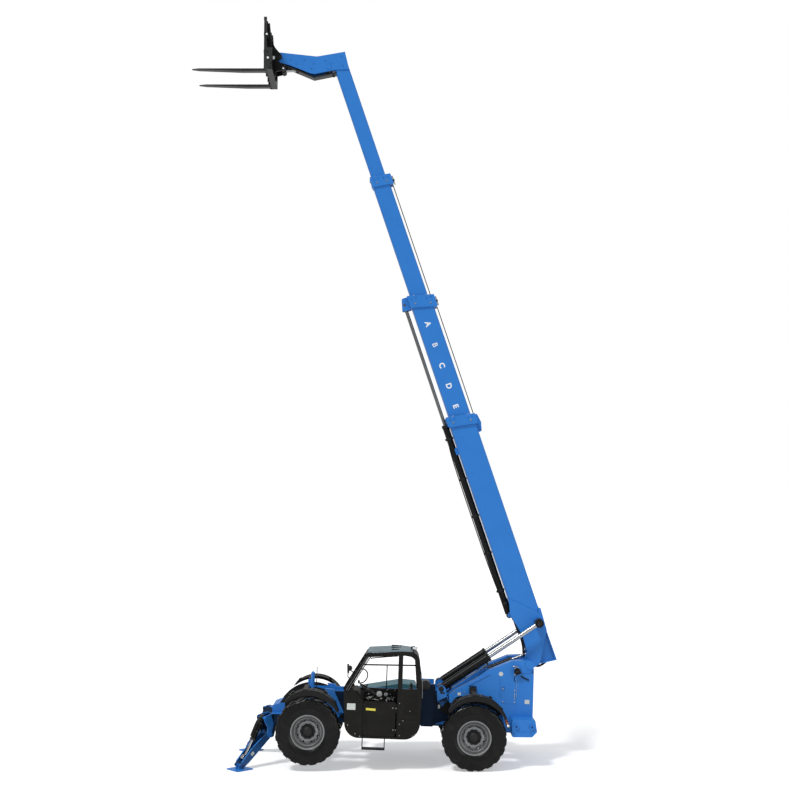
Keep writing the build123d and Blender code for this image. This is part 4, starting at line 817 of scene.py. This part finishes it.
top = Piece("roof_fittings", BLACK, 0.002)
for y in (1.0, 0.86):
    top.tube([(1.35, y, 2.395), (1.352, y, 2.448), (1.318, y, 2.454), (1.272, y, 2.452)], 0.009)
top.bar((1.3, 0.86, 2.45), (1.3, 1.0, 2.45), 0.008)
for y in (0.45, 0.8, 1.2):
    top.box((1.6, 1.76), (y - 0.035, y + 0.035), (2.398, 2.421))
top.bar((1.578, 0.9, 2.39), (1.58, 0.9, 2.48), 0.006, 10)

plates = Piece("cab_front_plate", PALE)
plates.box((2.462, 2.636), (CAB_Y, CAB_Y + 0.0015), (1.168, 1.296))
strip = Piece("door_strip", YELLOW, 0, "door")
strip.box((2.048, 2.246), (CAB_Y, CAB_Y + 0.0015), (1.166, 1.212), pitch(-3))
rail = Piece("door_rail", CAB, 0.002, "door")
rail.bar((1.65, 1.262, 1.336), (2.292, 1.262, 1.336), 0.014)
rail.tube([(2.245, 1.284, 0.9), (2.245, 1.292, 0.92), (2.245, 1.292, 1.08), (2.245, 1.284, 1.1)], 0.008)
for z in (0.765, 1.18):
    rail.box((1.63, 1.73), (1.279, 1.287), (z - 0.022, z + 0.022))

# ---------------- inside the cab
DIALS = ((1.985, 1.405, 0.062), (1.845, 1.4, 0.04))    # middle (x, z) and radius
inside = Piece("side_console", PLASTIC, 0.006)
inside.plate([(1.56, 0.66), (2.16, 0.66), (2.2, 1.18), (2.12, 1.26), (1.6, 1.2)], 0.425, 0.585)
inside.plate([(2.345, 1.3), (2.44, 1.28), (2.48, 1.46), (2.36, 1.42)], 0.62, 1.03)
inside.box((1.45, 1.8), (1.085, 1.125), (1.22, 1.27))
faces = Piece("gauge_faces", PALE, 0.001)
for x, z, r in DIALS:
    faces.button((x, 0.581, z), OUT, r, 0.01, r - 0.006, 0.013, 28)
faces.plate([(1.905, 1.455), (1.7, 1.455), (1.735, 1.355), (1.87, 1.35)], 0.56, 0.572)
for x, z in ((2.28, 1.433), (2.19, 1.5), (2.101, 1.432), (1.83, 1.3), (1.772, 1.33), (1.7, 1.325)):
    faces.button((x, 0.6, z - 0.03), OUT, 0.018, 0.012, 0.012, 0.016, 16)
faces.box((2.13, 2.26), (0.63, 0.65), (1.325, 1.345), pitch(12))
faces.box((1.99, 2.1), (0.63, 0.65), (1.285, 1.3), pitch(-8))
pick = random.Random(11)
switches = Piece("console_switches", PALE)
for i in range(34):
    x, z = pick.uniform(1.63, 2.32), pick.uniform(1.285, 1.385 + 0.12 * (i % 2))
    if any(hypot(x - dial[0], z - dial[1]) < r for dial, r in zip(DIALS, (0.08, 0.06))):
        continue
    long, tall = pick.uniform(0.006, 0.024), pick.uniform(0.004, 0.01)
    tilt = pitch(pick.uniform(-35, 35))
    switches.box((x - long, x + long), (0.586, 0.592), (z - tall, z + tall), tilt)
back = Piece("switch_panel", PLASTIC, 0.004)
back.plate([(1.6, 1.2), (2.33, 1.24), (2.34, 1.4), (2.2, 1.53), (1.72, 1.51), (1.61, 1.42)], 0.56, 0.587)
rings = Piece("gauge_rings", BLACK, 0.001)
for x, z, r in DIALS:
    rings.band((x, 0.577, z), OUT, r, r + 0.012, 0.018, 28)
    rings.bar((x, 0.565, z), (x, 0.565, z - r - 0.12), 0.012)
for x, z in ((2.02, 1.36), (1.8, 1.34), (1.9, 1.3)):
    rings.bar((x, 0.5, 1.2), (x + 0.02, 0.5, z + 0.08), 0.009)
    knob = [(0.012, 0), (0.024, 0.012), (0.026, 0.035), (0.014, 0.052), (0, 0.054)]
    rings.lathe((x + 0.02, 0.5, z + 0.07), UP, knob, 20)
pedals = Piece("pedals", STEEL, 0.002)
for y in (0.68, 0.95):
    pedals.box((2.36, 2.375), (y - 0.035, y + 0.035), (0.78, 0.9), pitch(-28))
    pedals.bar((2.375, y, 0.8), (2.43, y, 1.02), 0.008)
shelf = Piece("far_wall_trim", PLASTIC, 0.004)
for x0, x1 in ((1.22, 1.5), (1.55, 1.95), (2.0, 2.48)):
    shelf.box((x0, x1), (0.417, 0.427), (0.78, 1.44))
for i in range(6):
    shelf.box((1.58 + 0.06 * i, 1.61 + 0.06 * i), (0.427, 0.435), (1.26, 1.42))

# boarding step: serrated tread
grip = Piece("step_grip", BLACK)
for i in range(16):
    x = 1.85 + 0.03 * i
    grip.box((x, x + 0.008), (1.095, 1.268), (0.395, 0.401))


# ---------------- seat: three padded pieces, seams and a shell
CUSHION_VOXEL, CUSHION_PRESSURE, CUSHION_FRAMES = 0.008, 4.0, 20


def apply_modifiers(obj):
    """Apply every modifier of a piece to its mesh."""
    shape = bpy.data.meshes.new_from_object(obj.evaluated_get(bpy.context.evaluated_depsgraph_get()))
    obj.modifiers.clear()
    obj.data = shape


def cushion(name, outline, y0, y1, cap):
    """Upholstered pad: rounded block swollen by a short cloth run, moved by no more than cap."""
    block = Piece(name, VINYL)
    block.plate(outline, y0, y1)
    bmesh.ops.recalc_face_normals(block.bm, faces=block.bm.faces)
    edges = list(block.bm.edges)
    bmesh.ops.bevel(block.bm, geom=edges, offset=0.022, segments=4, affect="EDGES", profile=0.6)
    pad = block.done()
    remesh = pad.modifiers.new("remesh", "REMESH")
    remesh.mode, remesh.voxel_size = "VOXEL", CUSHION_VOXEL
    apply_modifiers(pad)
    before = [v.co.copy() for v in pad.data.vertices]
    cloth = pad.modifiers.new("cloth", "CLOTH")
    cloth.settings.use_pressure = True
    cloth.settings.uniform_pressure_force = CUSHION_PRESSURE
    cloth.settings.effector_weights.gravity = 0.0
    for step in range(1, CUSHION_FRAMES + 1):
        scene.frame_set(step)
    apply_modifiers(pad)
    for vertex, start in zip(pad.data.vertices, before):
        move = vertex.co - start
        if move.length > cap:
            vertex.co = start + move.normalized() * cap
    scene.frame_set(1)
    finer = pad.modifiers.new("finer", "SUBSURF")
    finer.levels = finer.render_levels = 1
    apply_modifiers(pad)
    smooth(pad, 60)
    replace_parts(pad, "seat")


cushion("seat_cushion", [(1.372, 1.05), (1.8, 1.06), (1.812, 1.13), (1.375, 1.112)], 0.615, 1.065, 0.012)
cushion("seat_back", [(1.322, 1.13), (1.41, 1.136), (1.366, 1.605), (1.292, 1.592)], 0.625, 1.055, 0.012)
cushion("seat_headrest", [(1.29, 1.612), (1.352, 1.622), (1.344, 1.69), (1.3, 1.684)], 0.735, 0.945, 0.006)
base = Piece("seat_base", PLASTIC, 0.006, slot="seat_vinyl")
base.plate([(1.35, 1.025), (1.8, 1.036), (1.8, 1.062), (1.35, 1.062)], 0.64, 1.04)
base.plate([(1.285, 1.08), (1.325, 1.085), (1.3, 1.56), (1.282, 1.56)], 0.66, 1.02)
for y in (0.79, 0.89):
    base.bar((1.312, y, 1.56), (1.318, y, 1.66), 0.008)
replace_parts(base.done(), "seat")
seams = Piece("seat_seams", HOSE)
for y in (0.74, 0.94):
    seams.tube([(1.405, y, 1.13), (1.55, y, 1.14), (1.7, y, 1.143), (1.806, y, 1.14)], 0.003)
    seams.tube([(1.416, y, 1.17), (1.404, y, 1.3), (1.392, y, 1.45), (1.378, y, 1.58)], 0.003)
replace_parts(seams.done(), "seat")


# ---------------- tanks, frame and tail, machine frame
TANK_Y = 0.605
# painted shade: the frame's flank under the cab and the lower middle of the stabiliser beam take the shaded
# blue
repaint("chassis_frame", STAND, lambda p: 0.6 < p.x < 2.62 and p.z < 1.372, BLUE_SHADE)
repaint("stabiliser_beam", STAND, lambda p: p.z < 0.88 and abs(p.y) < 0.62, BLUE_SHADE)
repaint("side_tanks", STAND, lambda p: abs(abs(p.y) - 0.67) < 0.012 and abs(p.x + 0.905) < 0.07
        and p.z > 1.9, BLACK)
repaint("fittings", STAND, lambda p: p.z > 2.4 and abs(p.x - 1.28) < 0.04, LENS)

for hand, side in HANDS:
    flip = mirrored(STAND, side)
    tank = Piece(f"tank_panels_{hand}", BLUE, 0.002, place=flip)
    tank.box((-0.9, -0.6), (TANK_Y - 0.002, TANK_Y + 0.003), (1.3, 1.64))
    for x in (-0.62, -0.88):
        for z in (1.335, 1.6):
            tank.button((x, TANK_Y, z), OUT, 0.024, 0.006, 0.018, 0.009, 24)
    brow = [(-1.225, 1.985), (-0.965, 1.95), (-0.965, 1.925), (-1.225, 1.96)]
    ledge = [(-0.34, 1.895), (0.11, 1.64), (0.118, 1.654), (-0.33, 1.91)]
    tank.plate(brow, TANK_Y - 0.002, TANK_Y + 0.012)
    tank.plate(ledge, TANK_Y - 0.004, TANK_Y + 0.016)
    # blank plates, breather slots, sight gauge with its two ends
    signs = Piece(f"tank_plates_{hand}", PALE, place=flip)
    signs.lathe((-0.571, TANK_Y, 1.91), OUT, [(0.046, 0), (0.046, 0.002)], 24)
    for x, z in (((-1.185, -1.085), (1.305, 1.392)), ((0.265, 0.335), (1.435, 1.495))):
        signs.box(x, (TANK_Y, TANK_Y + 0.002), z)
    gauge = Piece(f"sight_gauge_{hand}", NYLON, place=flip)
    gauge.box((-0.872, -0.862), (TANK_Y + 0.008, TANK_Y + 0.018), (1.385, 1.525))
    gauge.box((-0.905, -0.901), (TANK_Y + 0.006, TANK_Y + 0.0075), (1.42, 1.8))
    for x, z in ((-0.867, 1.577), (-0.867, 1.329), (-0.62, 1.335), (-0.62, 1.6)):
        gauge.button((x, TANK_Y + 0.006, z), OUT, 0.013, 0.006, 0.008, 0.009, 16)
    slots = Piece(f"breather_slots_{hand}", BLACK, place=flip)
    for i in range(3):
        slots.box((-0.65 + 0.022 * i, -0.64 + 0.022 * i), (TANK_Y, TANK_Y + 0.003), (1.565, 1.645))
    for x in (-0.985, -1.235):
        slots.hexagon((x, TANK_Y + 0.01, 1.94 + (-0.985 - x) * 0.14), OUT, 0.013, 0.01)
    slots.tube([(-1.0, TANK_Y + 0.01, 1.88), (-1.04, TANK_Y + 0.03, 1.84), (-1.12, TANK_Y + 0.03, 1.83),
                (-1.16, TANK_Y + 0.01, 1.8)], 0.014)
    cap = Piece(f"filler_cap_{hand}", BLACK, 0.002, place=flip)
    lid = [(0.066, 0), (0.07, 0.01), (0.07, 0.026), (0.052, 0.034), (0, 0.034)]
    cap.lathe((-0.905, 0.679, 1.985), OUT, lid, 36)
    cap.box((-0.95, -0.86), (0.71, 0.72), (1.975, 1.995), pitch(25))
    cap.tube([(-0.905, 0.655, 1.93), (-0.85, 0.66, 1.87), (-0.838, 0.64, 1.8),
              (-0.87, 0.612, 1.77)], 0.008)
    hasp = Piece(f"filler_hasp_{hand}", STEEL, 0.001, place=flip)
    hasp.tube([(-0.93, 0.69, 2.062), (-0.895, 0.7, 2.092), (-0.85, 0.7, 2.098),
               (-0.812, 0.69, 2.082)], 0.012)
    hasp.box((-0.872, -0.846), (0.69, 0.702), (1.9, 2.06))
    # tail: casting line, tie-down bolts, rear lamps
    tail = Piece(f"tail_bolts_{hand}", BLUE, 0.002, place=flip)
    tail.bolts(((-1.19, 0.765), (-0.84, 0.765)), 1.0, 0.02, 0.016)
    tail.plate([(-1.285, 0.812), (-0.81, 0.8), (-0.81, 0.788), (-1.285, 0.8)], 0.998, 1.005)
    lamp = Piece(f"rear_lamp_base_{hand}", BLACK, 0.003, place=flip)
    lamp.box((-0.694, -0.634), (1.19, 1.245), (0.895, 1.115), pitch(22))
    for key, look, rise in (("red", RED, 0.062), ("amber", AMBER, 0.0), ("clear", LENS, -0.062)):
        glass = Piece(f"rear_lamp_{key}_{hand}", look, 0.002, place=flip)
        place = Vector((-0.664, 1.245, 1.005)) + Vector((0.37, 0, 0.93)) * rise
        glass.lathe(place, OUT, [(0.028, 0), (0.028, 0.01), (0.018, 0.018), (0, 0.02)], 24)
    # frame rail: hose bundle and bulkhead fittings
    bundle = Piece(f"rail_hoses_{hand}", HOSE, place=flip)
    for k, drop in enumerate((0, 0.035, 0.07)):
        run = [(0.62 - 0.02 * k, 0.43, 1.44), (0.52, 0.455, 1.4), (0.42, 0.56, 1.36), (0.3, 0.616, 1.32),
               (0.12, 0.616, 1.4)]
        bundle.tube([(x, y, z - drop) for x, y, z in run], 0.013)
    ports = Piece(f"rail_ports_{hand}", STEEL, 0.001, place=flip)
    ports.bolts([(0.105, 1.4 - 0.035 * k) for k in range(3)], TANK_Y, 0.016, 0.026)
    ports.bolts(((0.4, 1.5), (0.2, 1.5), (0.455, 1.235)), TANK_Y, 0.012, 0.01)

valves = Piece("valve_block", BLACK, 0.003)
valves.box((-0.06, 0.09), (0.606, 0.65), (1.48, 1.6))
for i in range(4):
    valves.bar((-0.04 + 0.036 * i, 0.628, 1.6), (-0.04 + 0.036 * i, 0.628, 1.65), 0.012)
pale = Piece("rail_plates", PALE)
pale.box((0.69, 0.735), (0.418, 0.4195), (1.12, 1.2))
pale.box((0.7, 0.73), (0.418, 0.4195), (1.29, 1.32))

# bolted hatch on the frame's flank, under the cab, in the shaded blue: painted shade
flank = Piece("flank_bolts", BLUE_SHADE, 0.002)
flank.box((0.835, 1.075), (0.417, 0.424), (0.8, 1.04))
flank.bolts(((0.85, 0.82), (1.06, 0.82), (0.85, 1.02), (1.06, 1.02)), 0.424, 0.012, 0.009)


# ---------------- fenders: ribs, bolts, brackets, and black sheets behind the wheels for the wheel wells' painted shade
def arc_point(front, top, rear, t, inset):
    """(x, z) on the circle through three points, t from 0 at the front tip to 1 at the rear one."""
    (ax, az), (bx, bz), (cx, cz) = front, top, rear
    d = 2 * (ax * (bz - cz) + bx * (cz - az) + cx * (az - bz))
    sa, sb, sc = ax * ax + az * az, bx * bx + bz * bz, cx * cx + cz * cz
    ux = (sa * (bz - cz) + sb * (cz - az) + sc * (az - bz)) / d
    uz = (sa * (cx - bx) + sb * (ax - cx) + sc * (bx - ax)) / d
    r = hypot(ax - ux, az - uz)
    a0, a1 = atan2(az - uz, ax - ux), atan2(cz - uz, cx - ux)
    a = a0 + (a1 - a0) * t
    return (ux + (r - inset) * cos(a), uz + (r - inset) * sin(a), a)


# fender's tip, top and tail, and the angles between which the black sheet of painted shade behind its wheel
# runs
FENDERS = {
    "front": (((3.922, 1.28), (3.515, 1.52), (2.805, 1.115)), 28, 126),
    "rear": (((0.545, 1.195), (0.012, 1.527), (-0.655, 1.09)), 30, 150),
}
RIB_STEPS = 36
for end, hub_x in ENDS:
    points, low, high = FENDERS[end]
    for hand, side in HANDS:
        flip = mirrored(STAND, side)
        rib = Piece(f"fender_ribs_{end}_{hand}", PLASTIC, place=flip)
        for t0, t1, y0, y1 in ((0.02, 0.98, 1.276, 1.292), (0.1, 0.9, 1.105, 1.117)):
            ts = [t0 + (t1 - t0) * i / RIB_STEPS for i in range(RIB_STEPS + 1)]
            upper = [arc_point(*points, t, -0.006)[:2] for t in ts]
            lower = [arc_point(*points, t, 0.004)[:2] for t in reversed(ts)]
            rib.plate(upper + lower, y0, y1)
        fix = Piece(f"fender_bolts_{end}_{hand}", STEEL, 0.001, place=flip)
        for t in (0.36, 0.44, 0.52):
            x, z, a = arc_point(*points, t, -0.001)
            for y in (1.0, 1.2):
                fix.hexagon((x, y, z), (cos(a), 0, sin(a)), 0.011, 0.01)
        stay = Piece(f"fender_brackets_{end}_{hand}", BLACK, 0.002, place=flip)
        for t in (0.1, 0.88):
            x, z, a = arc_point(*points, t, 0.004)
            stay.box((x - 0.03, x + 0.03), (0.965, 1.08), (z - 0.001, z + 0.03), pitch(90 - degrees(a)))
        stop = Piece(f"fender_upstands_{end}_{hand}", BLACK, 0.003, place=flip)
        for t in (0.15, 0.66):
            x, z, a = arc_point(*points, t, -0.018)
            stop.box((x - 0.036, x + 0.036), (0.99, 1.05), (z - 0.022, z + 0.022), pitch(90 - degrees(a)))
        # a black sheet behind the wheel, standing for the shade in the wheel well: painted shade
        shade_sheet = Piece(f"wheel_well_shade_{end}_{hand}", PLASTIC, place=flip)
        arcs = [(0.8, radians(a)) for a in range(low, high + 1, 4)]
        arcs += [(0.4, radians(a)) for a in range(high, low - 1, -7)]
        shade_sheet.plate([(hub_x + r * cos(a), TYRE_R + r * sin(a)) for r, a in arcs], 0.3615, 0.3665)


# ---------------- aerial, nose and stabilisers
mast = Piece("aerial", BLACK)
mast.bar((3.335, 0.3, 1.42), (3.337, 0.3, 1.89), 0.008, 10)
mast.lathe((3.335, 0.3, 1.38), UP, [(0.022, 0), (0.022, 0.03), (0.01, 0.05)], 20)
nose = Piece("nose_fittings", BLUE, 0.003)
for side in SIDES:
    nose.box((3.99, 4.08), (0.3 * side - 0.04, 0.3 * side + 0.04), (1.108, 1.124))
    for x in (4.005, 4.065):
        nose.hexagon((x, 0.3 * side, 1.122), UP, 0.012, 0.01)

# edge strips of a leg's top and bottom, from one (x, z) to another
LEG_EDGES = ((0.2, 0.087, 0.47, 0.104), (0.49, 0.104, 0.86, 0.066), (0.2, -0.062, 0.7, -0.06))
for hand, side in HANDS:
    place = mirrored(splay(side), side)
    # ram: wide hose pack over the barrel, held by bands
    a, b = Vector((0.135, 0, 0.838)), Vector((0.56, 0, 0.062))
    run = (b - a).normalized()
    up = Vector((-run.z, 0, run.x))
    pack = Piece(f"stabiliser_hoses_{hand}", HOSE, 0, f"leg_barrel_{hand}", place)
    for y, lift, radius in ((-0.032, 0.068, 0.017), (0, 0.08, 0.02), (0.032, 0.068, 0.017)):
        points = [a + run * d + up * (lift + bump) + Vector((0, y, 0))
                  for d, bump in ((0.03, -0.02), (0.1, 0.01), (0.22, 0.006), (0.34, 0.0), (0.44, -0.01))]
        pack.tube(points, radius)
    bands = Piece(f"stabiliser_bands_{hand}", BLACK, 0, f"leg_barrel_{hand}", place)
    for d in (0.12, 0.3, 0.475):
        bands.band(a + run * d, run, 0.057, 0.062, 0.022)
    leg = place @ shift((0, 0, 0.5)) @ pitch(40.98)
    plates = Piece(f"leg_edges_{hand}", BLUE, 0.002, f"leg_{hand}", leg)
    for y in (0.096, -0.096):
        for x0, z0, x1, z1 in LEG_EDGES:
            edge_line = [(x0, z0), (x1, z1), (x1, z1 + 0.006), (x0, z0 + 0.006)]
            plates.plate(edge_line, y - 0.016, y + 0.012)
    label = Piece(f"leg_plate_{hand}", PALE, 0, f"leg_{hand}", leg)
    for y in (0.104, -0.1055):
        label.box((0.52, 0.6), (y, y + 0.0015), (-0.018, 0.046))
    pins = Piece(f"leg_pin_bolts_{hand}", IRON, 0.002, f"leg_{hand}", leg)
    for y, way in ((0.104, 1), (-0.104, -1)):
        pins.hexagon((0.884, y + 0.012 * way, 0), (0, way, 0), 0.016, 0.014)
        pins.hexagon((0.3, y, 0.05), (0, way, 0), 0.013, 0.01)


# ---------------- close
for piece in list(PIECES):
    piece.done()
